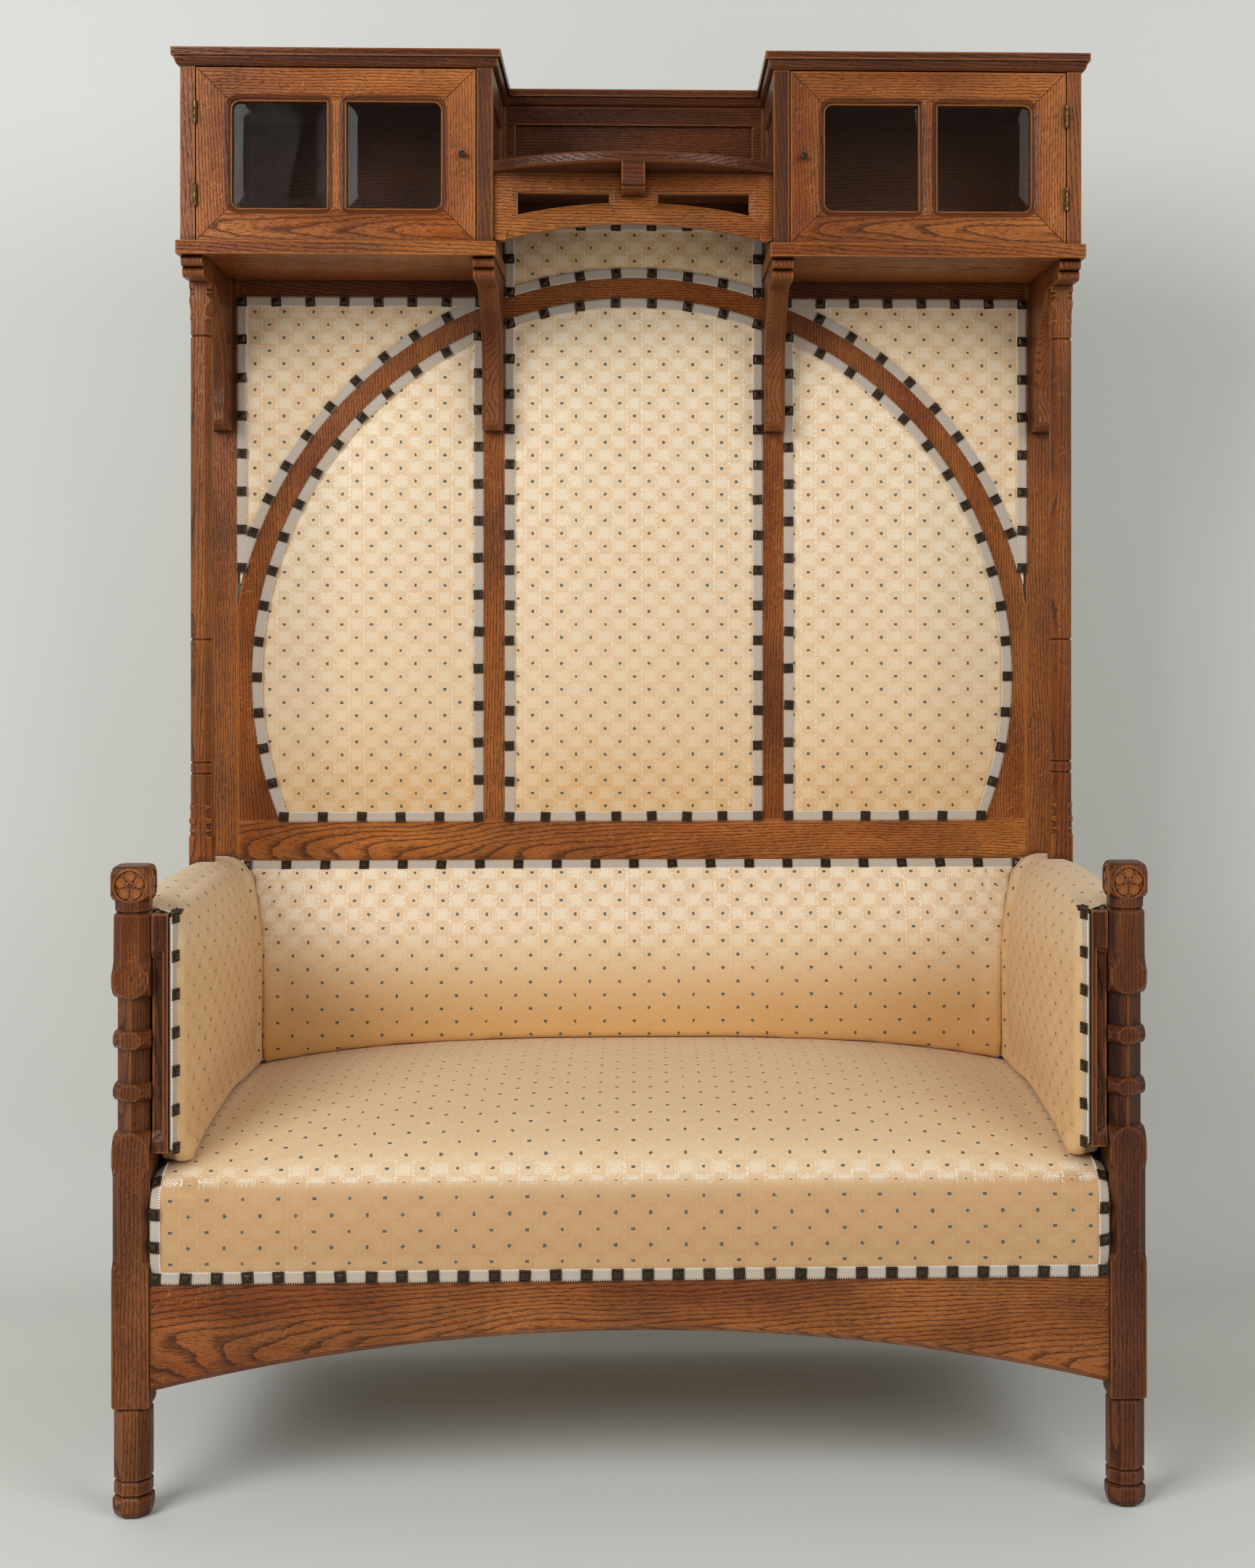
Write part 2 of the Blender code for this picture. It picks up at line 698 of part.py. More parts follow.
def arch_rail_outline(side):
    """One side of the circle, with the solid corner below it down to the mid rail."""
    inner_x = MUNTIN_OUTER + GAP
    outer_x = STILE_INNER - GAP
    foot_z = MID_RAIL_TOP + GAP
    foot_angle = math.degrees(math.asin((foot_z - CIRCLE_Z) / CIRCLE_RADIUS))
    inner = arc(
        (0, CIRCLE_Z), CIRCLE_RADIUS, foot_angle, circle_angle(CIRCLE_RADIUS, inner_x), WING_STEPS
    )
    outer = arc(
        (0, CIRCLE_Z),
        CIRCLE_OUTER,
        circle_angle(CIRCLE_OUTER, inner_x),
        circle_angle(CIRCLE_OUTER, outer_x),
        CORNER_STEPS,
    )
    return [(side * x, z) for x, z in [*inner, *outer, (outer_x, foot_z)]]


def arch_rails(oak):
    """The three curved rails that make the circle."""
    for side, word in SIDES:
        outline = arch_rail_outline(side)
        rings = [rows_xz(outline, BACK_PLANE), rows_xz(outline, BACK_BOARD_REAR)]
        place("arch_rail_" + word, loft(rings), oak)
    half = CENTER_HALF - GAP
    start = circle_angle(CIRCLE_RADIUS, half)
    lower = arc((0, CIRCLE_Z), CIRCLE_RADIUS, start, 180 - start, CENTER_STEPS)
    start = circle_angle(CIRCLE_OUTER, half)
    upper = arc((0, CIRCLE_Z), CIRCLE_OUTER, 180 - start, start, CENTER_STEPS)
    rings = [rows_xz(lower + upper, y) for y in (BACK_PLANE, BACK_BOARD_REAR)]
    place("arch_rail_center", loft(rings), oak)


def columns(oak):
    bottom = ARM_FRAME_HEIGHT + GAP
    top = CABINET_BOTTOM - BRACKET_HEAD_HEIGHT - GAP
    for side, word in SIDES:
        center = (side * COLUMN_X, COLUMN_Y)
        carved_post(
            "column_" + word, center, bottom, top - bottom, COLUMN_SIZE / 2, COLUMN_SHARES, oak
        )


def bracket_outline(inset):
    """The bracket from the side: distances from the back plane, and heights."""
    foot = CABINET_BOTTOM - BRACKET_HEIGHT
    head = CABINET_BOTTOM - BRACKET_HEAD_HEIGHT
    curve = [
        (BRACKET_SEAT_REACH * reach, foot + (head - foot) * rise) for reach, rise in BRACKET_SHARES
    ]
    curve = [(reach - inset, z) for reach, z in smooth(curve, 3)[:-1]]
    roll = BRACKET_HEAD_HEIGHT / 4
    lower = BRACKET_HEAD_REACH - BRACKET_ROLL_STEP - roll
    upper = BRACKET_HEAD_REACH - roll
    return [
        (GAP, foot),
        *curve,
        (BRACKET_SEAT_REACH, head),
        *arc((lower, head + roll), roll, -90, 80, 5),
        *arc((upper, CABINET_BOTTOM - roll), roll, -80, 60, 4),
        (upper, CABINET_BOTTOM - GAP),
        (GAP, CABINET_BOTTOM - GAP),
    ]


def bracket(name, x, oak):
    half = BRACKET_WIDTH / 2
    rings = []
    for offset, inset in (
        (-half, BRACKET_CHAMFER),
        (BRACKET_CHAMFER - half, 0),
        (half - BRACKET_CHAMFER, 0),
        (half, BRACKET_CHAMFER),
    ):
        outline = [(BACK_PLANE - reach, z) for reach, z in bracket_outline(inset)]
        rings.append(rows_yz(outline, x + offset))
    place(name, loft(rings), oak)


def brackets(oak):
    for side, word in SIDES:
        bracket("bracket_outer_" + word, side * COLUMN_X, oak)
        bracket("bracket_inner_" + word, side * MUNTIN_X, oak)


def recess(side, face_x, y_span, z_span, depth):
    """A cutter for a sunk panel with bevelled edges, in a side board's face."""
    rings = []
    for x, inset in (
        (face_x + OVERRUN, 0),
        (face_x, 0),
        (face_x - depth, SIDE_PANEL_BEVEL),
    ):
        outline = (
            (y_span[0] + inset, z_span[0] + inset),
            (y_span[1] - inset, z_span[0] + inset),
            (y_span[1] - inset, z_span[1] - inset),
            (y_span[0] + inset, z_span[1] - inset),
        )
        rings.append(rows_yz(outline, side * x))
    return loft(rings)


def cabinet_boards(oak):
    """Floor, two sides and back of each cabinet."""
    y_span = (CABINET_FRONT, BACK_PLANE - GAP)
    z_span = (CABINET_FLOOR_TOP + GAP, CABINET_TOP - GAP)
    panel_y = (y_span[0] + SIDE_PANEL_MARGIN, y_span[1] - SIDE_PANEL_MARGIN)
    panel_z = (z_span[0] + SIDE_PANEL_MARGIN, z_span[1] - SIDE_PANEL_MARGIN)
    floor_x = (CABINET_INNER - CABINET_FLOOR_SIDE_LIP, CABINET_OUTER + CABINET_FLOOR_SIDE_LIP)
    for side, word in SIDES:
        floor = side_box(
            side,
            floor_x,
            (CABINET_FRONT - CABINET_FLOOR_LIP, BACK_PLANE - GAP),
            (CABINET_BOTTOM, CABINET_FLOOR_TOP),
        )
        place("cabinet_floor_" + word, floor, oak)
        board = side_box(side, (OUTER_SIDE_FACE, CABINET_OUTER), y_span, z_span)
        outer = place("cabinet_outer_side_" + word, board, oak)
        cut(outer, recess(side, CABINET_OUTER, panel_y, panel_z, SIDE_PANEL_RECESS))
        board = side_box(side, (CABINET_INNER, INNER_SIDE_FACE), y_span, z_span)
        inner = place("cabinet_inner_side_" + word, board, oak)
        cut(inner, recess(-side, -CABINET_INNER, panel_y, panel_z, SIDE_PANEL_RECESS))
        back = side_box(
            side,
            (MUNTIN_OUTER + GAP, STILE_INNER - GAP),
            (BACK_PLANE, BACK_BOARD_REAR),
            (TOP_RAIL_BOTTOM, CABINET_TOP - GAP),
        )
        place("cabinet_back_" + word, back, oak)


def cornice_steps():
    """Heights and overhangs of the cornice: a small ovolo under a square fillet."""
    fillet = SETTLE_HEIGHT - CORNICE_FILLET
    ovolo = CORNICE_HEIGHT - CORNICE_FILLET
    reach = CORNICE_OVERHANG - CORNICE_STEP
    rise = CABINET_TOP
    return (
        (rise, reach / 4),
        (rise + ovolo / 4, reach * 3 / 4),
        (rise + ovolo * 3 / 4, reach),
        (fillet, reach),
        (fillet, CORNICE_OVERHANG),
        (SETTLE_HEIGHT, CORNICE_OVERHANG),
    )


def cornices(oak):
    """The moulded top of each cabinet, which overhangs its front and both its sides."""
    for side, word in SIDES:
        rings = []
        for z, reach in cornice_steps():
            low_x, high_x = spans(side, CABINET_INNER - reach, CABINET_OUTER + reach)
            front = CABINET_FRONT - reach
            outline = ((low_x, front), (high_x, front), (high_x, BACK), (low_x, BACK))
            rings.append(rows_xy(outline, z))
        place("cornice_" + word, loft(rings), oak)


def gallery_back(oak):
    """The framed board behind the gallery, with the middle stretch of the cornice on top."""
    half = CENTER_HALF - GAP
    low = (-half, BACK_PLANE, GALLERY_RAIL_BOTTOM)
    high = (half, BACK_BOARD_REAR, CABINET_TOP - GAP)
    board = place("gallery_back", box(low, high), oak)
    inner = half - GALLERY_FRAME_WIDTH
    low = (-inner, BACK_PLANE - OVERRUN, SHELF_BOTTOM + SHELF_THICKNESS + GALLERY_FRAME_WIDTH)
    floor = BACK_PLANE + GALLERY_PANEL_RECESS
    cut(board, box(low, (inner, floor, CABINET_TOP - GALLERY_PANEL_TOP_MARGIN)))
    rings = []
    for z, reach in cornice_steps()[:4]:
        half = CABINET_INNER - reach - GAP
        front = BACK_PLANE - reach
        rings.append(rows_xy(((-half, front), (half, front), (half, BACK), (-half, BACK)), z))
    fuse(board, loft(rings))
    half = CABINET_INNER - CORNICE_OVERHANG - GAP
    fillet = SETTLE_HEIGHT - CORNICE_FILLET
    fuse(board, box((-half, BACK_PLANE - CORNICE_OVERHANG, fillet), (half, BACK, SETTLE_HEIGHT)))
    tongue = BACK_BOARD_DEPTH / 4
    low = (-half, BACK_PLANE + tongue, CABINET_TOP - CORNICE_HEIGHT)
    fuse(board, box(low, (half, BACK_BOARD_REAR - tongue, fillet)))


def bowed_outline(half, inset):
    """The shelf from above: straight behind, and bowed forward in front."""
    ends = CABINET_FRONT + inset
    radius = sagitta_radius(half, SHELF_BOW)
    reach = math.degrees(math.asin(half / radius))
    bow = arc((0, ends - SHELF_BOW + radius), radius, -90 - reach, -90 + reach, 20)
    return [*bow, (half, BACK_PLANE - GAP), (-half, BACK_PLANE - GAP)]


def corbel():
    """The small bracket under the middle of the shelf, from the side."""
    face = CABINET_FRONT - SHELF_BOW + CORBEL_SETBACK
    back = CABINET_FRONT + APRON_SETBACK - GAP
    foot = SHELF_BOTTOM - CORBEL_HEIGHT
    nose = SHELF_BOTTOM - CORBEL_FACE_HEIGHT
    drop = nose - foot - CORBEL_STEP
    roll = arc((face + drop, nose), drop, 180, 270, 5)
    outline = [
        (face, SHELF_BOTTOM + SHELF_THICKNESS / 2),
        *roll,
        (face + drop + CORBEL_STEP, foot + CORBEL_STEP),
        (face + drop + CORBEL_STEP, foot),
        (back, foot),
        (back, SHELF_BOTTOM + SHELF_THICKNESS / 2),
    ]
    half = CORBEL_WIDTH / 2
    return loft([rows_yz(outline, -half), rows_yz(outline, half)])


def gallery_shelf(oak):
    half = CABINET_INNER - GAP
    top = SHELF_BOTTOM + SHELF_THICKNESS
    rings = [
        rows_xy(bowed_outline(half, SHELF_EDGE_ROUND), SHELF_BOTTOM),
        rows_xy(bowed_outline(half, 0), SHELF_BOTTOM + SHELF_EDGE_ROUND),
        rows_xy(bowed_outline(half, 0), top - SHELF_EDGE_ROUND),
        rows_xy(bowed_outline(half, SHELF_EDGE_ROUND), top),
    ]
    shelf = place("gallery_shelf", loft(rings), oak)
    fuse(shelf, corbel())


def apron_arch():
    """Half span, radius and centre height of the arch under the gallery."""
    half = CABINET_INNER - GAP - APRON_EAR_WIDTH
    radius = sagitta_radius(half, APRON_ARCH_RISE)
    crown = SHELF_BOTTOM - APRON_HEIGHT + APRON_EAR_DROP + APRON_ARCH_RISE
    return half, radius, crown - radius


def apron_outline(lift):
    """The apron from the front, with its arch lifted by its chamfer, from the right ear round."""
    half, radius, middle = apron_arch()
    edge = CABINET_INNER - GAP
    top = SHELF_BOTTOM - GAP
    foot = SHELF_BOTTOM - APRON_HEIGHT
    reach = math.degrees(math.asin(half / (radius + lift)))
    lower = arc((0, middle), radius + lift, 90 - reach, 90 + reach, 20)
    ear = APRON_EAR_RADIUS
    right = [
        *arc((edge - ear, foot + ear), ear, 0, -90, 3),
        *arc((half + ear, foot + ear), ear, -90, -135, 2),
    ]
    left = [(-x, z) for x, z in reversed(right)]
    return [(edge, top), *right, *lower, *left, (-edge, top)]


def slot_outline(side, border):
    """A pierced slot whose lower edge runs beside the arch, grown by a border."""
    _, radius, middle = apron_arch()
    inner = SLOT_INNER - border
    outer = SLOT_OUTER + border
    top = SHELF_BOTTOM - SLOT_TOP_MARGIN + border
    lower = radius + SLOT_RAIL_HEIGHT - border
    start = circle_angle(lower, outer)
    curve = arc((0, middle), lower, start, circle_angle(lower, inner), 8)
    return [(side * x, z) for x, z in [*curve, (inner, top), (outer, top)]]


def gallery_apron(oak):
    """The pierced arched board under the shelf, with two slots in gouged borders."""
    face = CABINET_FRONT + APRON_SETBACK
    rear = face + APRON_THICKNESS
    rings = [
        rows_xz(apron_outline(APRON_ARCH_CHAMFER), face),
        rows_xz(apron_outline(0), face + APRON_ARCH_CHAMFER_DEPTH),
        rows_xz(apron_outline(0), rear),
    ]
    apron = place("gallery_apron", loft(rings), oak)
    for side, _ in SIDES:
        rings = [
            rows_xz(slot_outline(side, SLOT_BORDER), face - OVERRUN),
            rows_xz(slot_outline(side, SLOT_BORDER), face),
            rows_xz(slot_outline(side, 0), face + SLOT_BORDER_DEPTH),
            rows_xz(slot_outline(side, 0), rear + OVERRUN),
        ]
        cut(apron, loft(rings))


def rounded_rectangle(low, high, radii):
    """A rectangle in X and Z with four corner radii, from the low corner anticlockwise."""
    corners = (
        ((low[0], low[1]), 1, 1, 180),
        ((high[0], low[1]), -1, 1, 270),
        ((high[0], high[1]), -1, -1, 0),
        ((low[0], high[1]), 1, -1, 90),
    )
    points = []
    for (corner, to_x, to_z, start), radius in zip(corners, radii):
        center = (corner[0] + to_x * radius, corner[1] + to_z * radius)
        points += arc(center, radius, start, start + 90, 4)
    return points


def pane_outlines(side, grow):
    """Both openings of a door, grown on all sides. The corners away from the mullion are round."""
    middle = (DOOR_INNER + DOOR_OUTER) / 2
    half_mullion = DOOR_MULLION_WIDTH / 2
    low_z = DOOR_BOTTOM + DOOR_RAIL_WIDTH - grow
    high_z = DOOR_TOP - DOOR_RAIL_WIDTH + grow
    round_corner = PANE_CORNER_RADIUS + grow
    square_corner = PANE_INNER_RADIUS
    inner = (DOOR_INNER + DOOR_STILE_WIDTH - grow, middle - half_mullion + grow)
    outer = (middle + half_mullion - grow, DOOR_OUTER - DOOR_STILE_WIDTH + grow)
    outlines = []
    for span, round_low in ((inner, True), (outer, False)):
        low_corner = round_corner if round_low else square_corner
        high_corner = square_corner if round_low else round_corner
        radii = (low_corner, high_corner, high_corner, low_corner)
        outline = rounded_rectangle((span[0], low_z), (span[1], high_z), radii)
        outlines.append([(side * x, z) for x, z in outline])
    return outlines


def door_frame(side, word, pivot, oak):
    """The door's frame with its mullion, moulded pane edges and grooves for the glass."""
    body = side_box(
        side,
        (DOOR_INNER, DOOR_OUTER),
        (CABINET_FRONT, CABINET_FRONT + DOOR_THICKNESS),
        (DOOR_BOTTOM, DOOR_TOP),
    )
    frame = place("door_frame_" + word, body, oak, pivot)
    steps = (
        (-OVERRUN, DOOR_MOULDING_WIDTH),
        (0, DOOR_MOULDING_WIDTH),
        (DOOR_MOULDING_DEPTH / 4, DOOR_MOULDING_WIDTH * 3 / 4),
        (DOOR_MOULDING_DEPTH / 2, DOOR_MOULDING_WIDTH / 2),
        (DOOR_MOULDING_DEPTH, DOOR_MOULDING_WIDTH / 4),
        (DOOR_MOULDING_DEPTH, 0),
        (GLASS_GROOVE_SETBACK, 0),
        (GLASS_GROOVE_SETBACK, GLASS_SEAT + GAP),
        (GLASS_GROOVE_SETBACK + GLASS_THICKNESS + 2 * GAP, GLASS_SEAT + GAP),
        (GLASS_GROOVE_SETBACK + GLASS_THICKNESS + 2 * GAP, 0),
        (DOOR_THICKNESS + OVERRUN, 0),
    )
    for index in range(2):
        rings = [
            rows_xz(pane_outlines(side, grow)[index], CABINET_FRONT + depth)
            for depth, grow in steps
        ]
        cut(frame, loft(rings))


def glass_panes(side, word, pivot, glass):
    """Two plates with a broad polished bevel, each held in its groove."""
    face = CABINET_FRONT + GLASS_GROOVE_SETBACK + GAP
    steps = (
        (GLASS_THICKNESS, GLASS_SEAT),
        (GLASS_BEVEL_DEPTH, GLASS_SEAT),
        (0, GLASS_SEAT - GLASS_BEVEL_WIDTH),
    )
    for index, place_word in enumerate(("inner", "outer")):
        rings = [
            rows_xz(plate_outline(side, index, grow), face + depth) for depth, grow in steps
        ]
        place(f"door_glass_{place_word}_{word}", loft(rings), glass, pivot)


def plate_outline(side, index, grow):
    """A pane's outline, with its round corners kept when it shrinks."""
    outline = pane_outlines(side, GLASS_SEAT)[index]
    xs = [x for x, _ in outline]
    zs = [z for _, z in outline]
    middle = ((min(xs) + max(xs)) / 2, (min(zs) + max(zs)) / 2)
    half = ((max(xs) - min(xs)) / 2, (max(zs) - min(zs)) / 2)
    shrink = GLASS_SEAT - grow
    return [
        (
            middle[0] + (x - middle[0]) * (half[0] - shrink) / half[0],
            middle[1] + (z - middle[1]) * (half[1] - shrink) / half[1],
        )
        for x, z in outline
    ]


def door_knob(side, word, pivot, metal):
    x = side * (DOOR_INNER + KNOB_EDGE_DISTANCE)
    z = (DOOR_BOTTOM + DOOR_TOP) / 2
    profile = [
        (-GAP - KNOB_LENGTH * along, KNOB_DIAMETER / 2 * width) for along, width in KNOB_SHARES
    ]
    turned("door_knob_" + word, profile, (x, CABINET_FRONT, z), metal, pivot, KNOB_FACETS, "Y")


def hinge(side, word, level, z, pivot, brass):
    """A butt hinge: the frame leaf keeps both end knuckles and the pin, the door leaf the middle."""
    radius = HINGE_KNUCKLE_DIAMETER / 2
    pin = HINGE_PIN_DIAMETER / 2
    center = (side * HINGE_X, HINGE_Y, z)
    third = HINGE_LENGTH / 3
    inset = (DOOR_GAP / 2 - HINGE_LEAF_THICKNESS - GAP) / 2
    profile = (
        (0, radius),
        (third, radius),
        (third, pin),
        (2 * third, pin),
        (2 * third, radius),
        (HINGE_LENGTH, radius),
    )
    frame_leaf = turned(f"hinge_frame_leaf_{level}_{word}", profile, center, brass, None, HINGE_FACETS)
    near = HINGE_X + inset
    fuse_leaf_plate(frame_leaf, side, near, near + HINGE_LEAF_THICKNESS, z, third, "frame")
    profile = ((third + GAP, radius), (2 * third - GAP, radius))
    door_leaf = turned(f"hinge_door_leaf_{level}_{word}", profile, center, brass, pivot, HINGE_FACETS)
    far = HINGE_X - inset
    fuse_leaf_plate(door_leaf, side, far - HINGE_LEAF_THICKNESS, far, z, third, "door")
    bore = pin + HINGE_PIN_CLEARANCE
    ring = ring_of(bore, HINGE_FACETS, center[:2])
    cut(door_leaf, loft([rows_xy(ring, z + third - OVERRUN), rows_xy(ring, z + 2 * third + OVERRUN)]))


def fuse_leaf_plate(leaf, side, x_low, x_high, z, third, kind):
    """Joins a leaf to its own knuckles, clear of the other leaf's."""
    clearance = HINGE_KNUCKLE_DIAMETER / 2 + HINGE_PROUD / 2
    plate = side_box(
        side,
        (x_low, x_high),
        (HINGE_Y + clearance, CABINET_FRONT + HINGE_LEAF_DEPTH),
        (z, z + HINGE_LENGTH),
    )
    fuse(leaf, plate)
    tabs = ((z, z + third), (z + 2 * third, z + HINGE_LENGTH))
    if kind == "door":
        tabs = ((z + third + GAP, z + 2 * third - GAP),)
    for low_z, high_z in tabs:
        root = HINGE_Y + HINGE_KNUCKLE_DIAMETER / 3
        tab = side_box(
            side, (x_low, x_high), (root, CABINET_FRONT + HINGE_LEAF_DEPTH / 2), (low_z, high_z)
        )
        fuse(leaf, tab)


def doors(oak, glass, metal, brass):
    for side, word in SIDES:
        pivot = bpy.data.objects.new(word + "_door_pivot", None)
        bpy.context.scene.collection.objects.link(pivot)
        pivot.location = (side * HINGE_X, HINGE_Y, DOOR_BOTTOM)
        bpy.context.view_layer.update()
        door_frame(side, word, pivot, oak)
        glass_panes(side, word, pivot, glass)
        door_knob(side, word, pivot, metal)
        upper = DOOR_TOP - HINGE_END_DISTANCE - HINGE_LENGTH
        for level, z in (("lower", DOOR_BOTTOM + HINGE_END_DISTANCE), ("upper", upper)):
            hinge(side, word, level, z, pivot, brass)


def value_at(shares, position):
    """The value at a position, between the rows of a table of positions and values."""
    for (start, low), (end, high) in zip(shares, shares[1:]):
        if position <= end:
            return low + (high - low) * (position - start) / (end - start)
    return shares[-1][1]


def seat_height(x, y):
    """The seat's crowned top: higher in the middle than at the sides, steep behind its front edge."""
    across = abs(x) / ARM_PAD_INNER
    along = max((y - SEAT_FRONT) / (BACK_PAD_FOOT - SEAT_FRONT), 0)
    crown = SEAT_CROWN_CENTER - (SEAT_CROWN_CENTER - SEAT_CROWN_SIDE) * across**SEAT_CROWN_POWER
    return SEAT_EDGE_TOP + crown * value_at(SEAT_PROFILE_SHARES, along)


def seat_rows():
    """The depths at which the seat's top has points, from its rounded front to the back pad."""
    start = SEAT_FRONT - SEAT_FRONT_BELLY + SEAT_FRONT_ROUND
    return [start + (BACK_PAD_FOOT - start) * share for share in SEAT_ROW_SHARES]


def seat_section(x):
    """The seat from the side at one distance from the middle, from its lower front corner up."""
    bottom = RAIL_TOP + GAP
    rounding = SEAT_FRONT_ROUND
    belly = SEAT_FRONT - SEAT_FRONT_BELLY
    points = [
        (SEAT_FRONT, bottom),
        (belly, bottom + SEAT_FRONT_HEIGHT / 3),
        (belly, SEAT_EDGE_TOP - rounding),
    ]
    for angle in (30, 60):
        turn = math.radians(angle)
        y = belly + rounding * (1 - math.cos(turn))
        points.append((y, SEAT_EDGE_TOP - rounding * (1 - math.sin(turn))))
    points += [(y, seat_height(x, y)) for y in seat_rows()]
    rear = BACK_PLANE - GAP
    return [*points, (rear, seat_height(x, rear)), (rear, bottom)]


def pad_stations(reach):
    return [reach * share for share in SEAT_COLUMN_SHARES]


def seat_cushion(fabric):
    edge = POST_INNER - GAP
    rings = [rows_yz(seat_section(x), x) for x in [-edge, *pad_stations(ARM_PAD_INNER), edge]]
    place_soft("seat_cushion", rings, fabric)


def place_soft(name, rings, fabric):
    pad = place(name, loft(rings), fabric)
    pad.data.shade_smooth()
    pad.data.set_sharp_from_angle(angle=math.radians(SHARP_ANGLE))
    return pad


def lower_back_section(x):
    """The lower back pad from the side, from its foot on the seat up to the mid rail."""
    foot = seat_height(x, BACK_PLANE) + GAP
    top = MID_RAIL_BOTTOM - GAP
    rear = BACK_BOARD_REAR
    points = [(rear, foot), (BACK_PAD_FOOT + GAP, foot)]
    for rise, bulge in BACK_PAD_SHARES:
        points.append((BACK_PLANE - BACK_PAD_BULGE * bulge, foot + (top - foot) * rise))
    points.append((BACK_PLANE - BACK_PAD_TOP_DEPTH, top))
    return [*points, (rear, top)]


def lower_back_cushion(fabric):
    """The pad behind the seat, whose ends make room for the leaning arm pads."""
    edge = STILE_INNER - GAP
    stations = [-edge, *pad_stations(ARM_PAD_INNER), edge]
    rings = [rows_yz(lower_back_section(x), x) for x in stations]
    pad = place_soft("lower_back_cushion", rings, fabric)
    for side, _ in SIDES:
        cut(pad, arm_pad_clearance(side))


def arm_pad_clearance(side):
    """A cutter with the arm pad's leaning inner face, a little clear of it."""
    near = ARM_PAD_INNER - BACK_PAD_END_CLEARANCE
    top = arm_pad_top(BACK_PLANE)
    outline = [(HALF_WIDTH, top), (HALF_WIDTH, RAIL_TOP), (near, RAIL_TOP)]
    for drop, _ in reversed(ARM_PAD_LEAN_SHARES):
        z = top - ARM_PAD_LEAN_HEIGHT * drop
        outline.append((near + arm_pad_lean(BACK_PLANE, z), z))
    outline = [(side * x, z) for x, z in outline]
    return loft([rows_xz(outline, FRONT), rows_xz(outline, BACK + OVERRUN)])


def arm_pad_along(y):
    """The share of the arm pad's length that lies in front of a depth."""
    front = FRONT + ARM_PAD_FRONT_SETBACK
    return (y - front) / (BACK_PLANE - front)


def arm_pad_top(y):
    """The arm pad's top is arched from its front to the back frame."""
    along = arm_pad_along(y)
    ends = ARM_PAD_FRONT_HEIGHT + (ARM_PAD_REAR_HEIGHT - ARM_PAD_FRONT_HEIGHT) * along
    arch = math.sin(math.pi * along) ** ARM_PAD_ARCH_POWER
    return ARM_FRAME_HEIGHT + GAP + ends + (ARM_PAD_HEIGHT - ends) * arch


def arm_pad_lean(y, z):
    """How far the pad's inner face stands outwards at one depth and height."""
    along = arm_pad_along(y)
    lean = ARM_PAD_FRONT_LEAN + (ARM_PAD_LEAN - ARM_PAD_FRONT_LEAN) * along
    height = ARM_PAD_FRONT_LEAN_HEIGHT + (ARM_PAD_LEAN_HEIGHT - ARM_PAD_FRONT_LEAN_HEIGHT) * along
    return lean * value_at(ARM_PAD_LEAN_SHARES, max((arm_pad_top(y) - z) / height, 0))


def arm_pad_section(y, inner, lift):
    """An arm pad from the front at one depth, before the arm frame is cut out of it."""
    foot = seat_height(ARM_PAD_INNER, y) + GAP + lift
    outer_foot = seat_height((ARM_PAD_INNER + POST_INNER) / 2, y) + GAP + lift
    outer = POST_INNER + ARM_RAIL_WIDTH + ARM_PAD_COVER
    core = POST_INNER + ARM_CORE_THICKNESS / 2
    top = arm_pad_top(y)
    shoulder = min(ARM_PAD_SHOULDER, top - ARM_FRAME_HEIGHT + ARM_RAIL_HEIGHT / 2)
    along = arm_pad_along(y)
    height = ARM_PAD_FRONT_LEAN_HEIGHT + (ARM_PAD_LEAN_HEIGHT - ARM_PAD_FRONT_LEAN_HEIGHT) * along
    belly = inner - ARM_PAD_BULGE * math.sin(math.pi * along)
    low = top - height
    points = [(core, outer_foot), (inner, foot), (belly, foot + (low - foot) / 2)]
    for drop, _ in reversed(ARM_PAD_LEAN_SHARES):
        z = top - height * drop
        points.append((belly + arm_pad_lean(y, z), z))
    return [
        *points,
        (outer - shoulder, top),
        (outer - shoulder / 4, top - shoulder / 4),
        (outer, top - shoulder),
        (outer, RAIL_TOP + GAP),
        (core, RAIL_TOP + GAP),
    ]


def arm_pads(fabric):
    """Each pad folds over its arm frame, behind the post and beside the stump."""
    front = FRONT + ARM_PAD_FRONT_SETBACK
    rear = BACK_PLANE - GAP
    reach = ARM_PAD_WIDTH - STUMP_WIDTH - ARM_PAD_FRONT_NOSE
    rounded = [front + ARM_PAD_FRONT_ROUND * share for share in ARM_PAD_FRONT_SHARES]
    rows = sorted({*rounded, *(y for y in seat_rows() if y > rounded[-1]), rear})
    for side, word in SIDES:
        rings = []
        for y in rows:
            settled = math.sin(min((y - front) / ARM_PAD_FRONT_ROUND, 1) * math.pi / 2)
            inner = ARM_PAD_INNER + (1 - settled) * reach
            lift = (1 - settled) * (STUMP_BOTTOM - SEAT_EDGE_TOP)
            section = [(side * x, z) for x, z in arm_pad_section(y, inner, lift)]
            rings.append(rows_xz(section, y))
        pad = place_soft("arm_pad_" + word, rings, fabric)
        for shape in arm_pad_reliefs(side):
            cut(pad, shape)


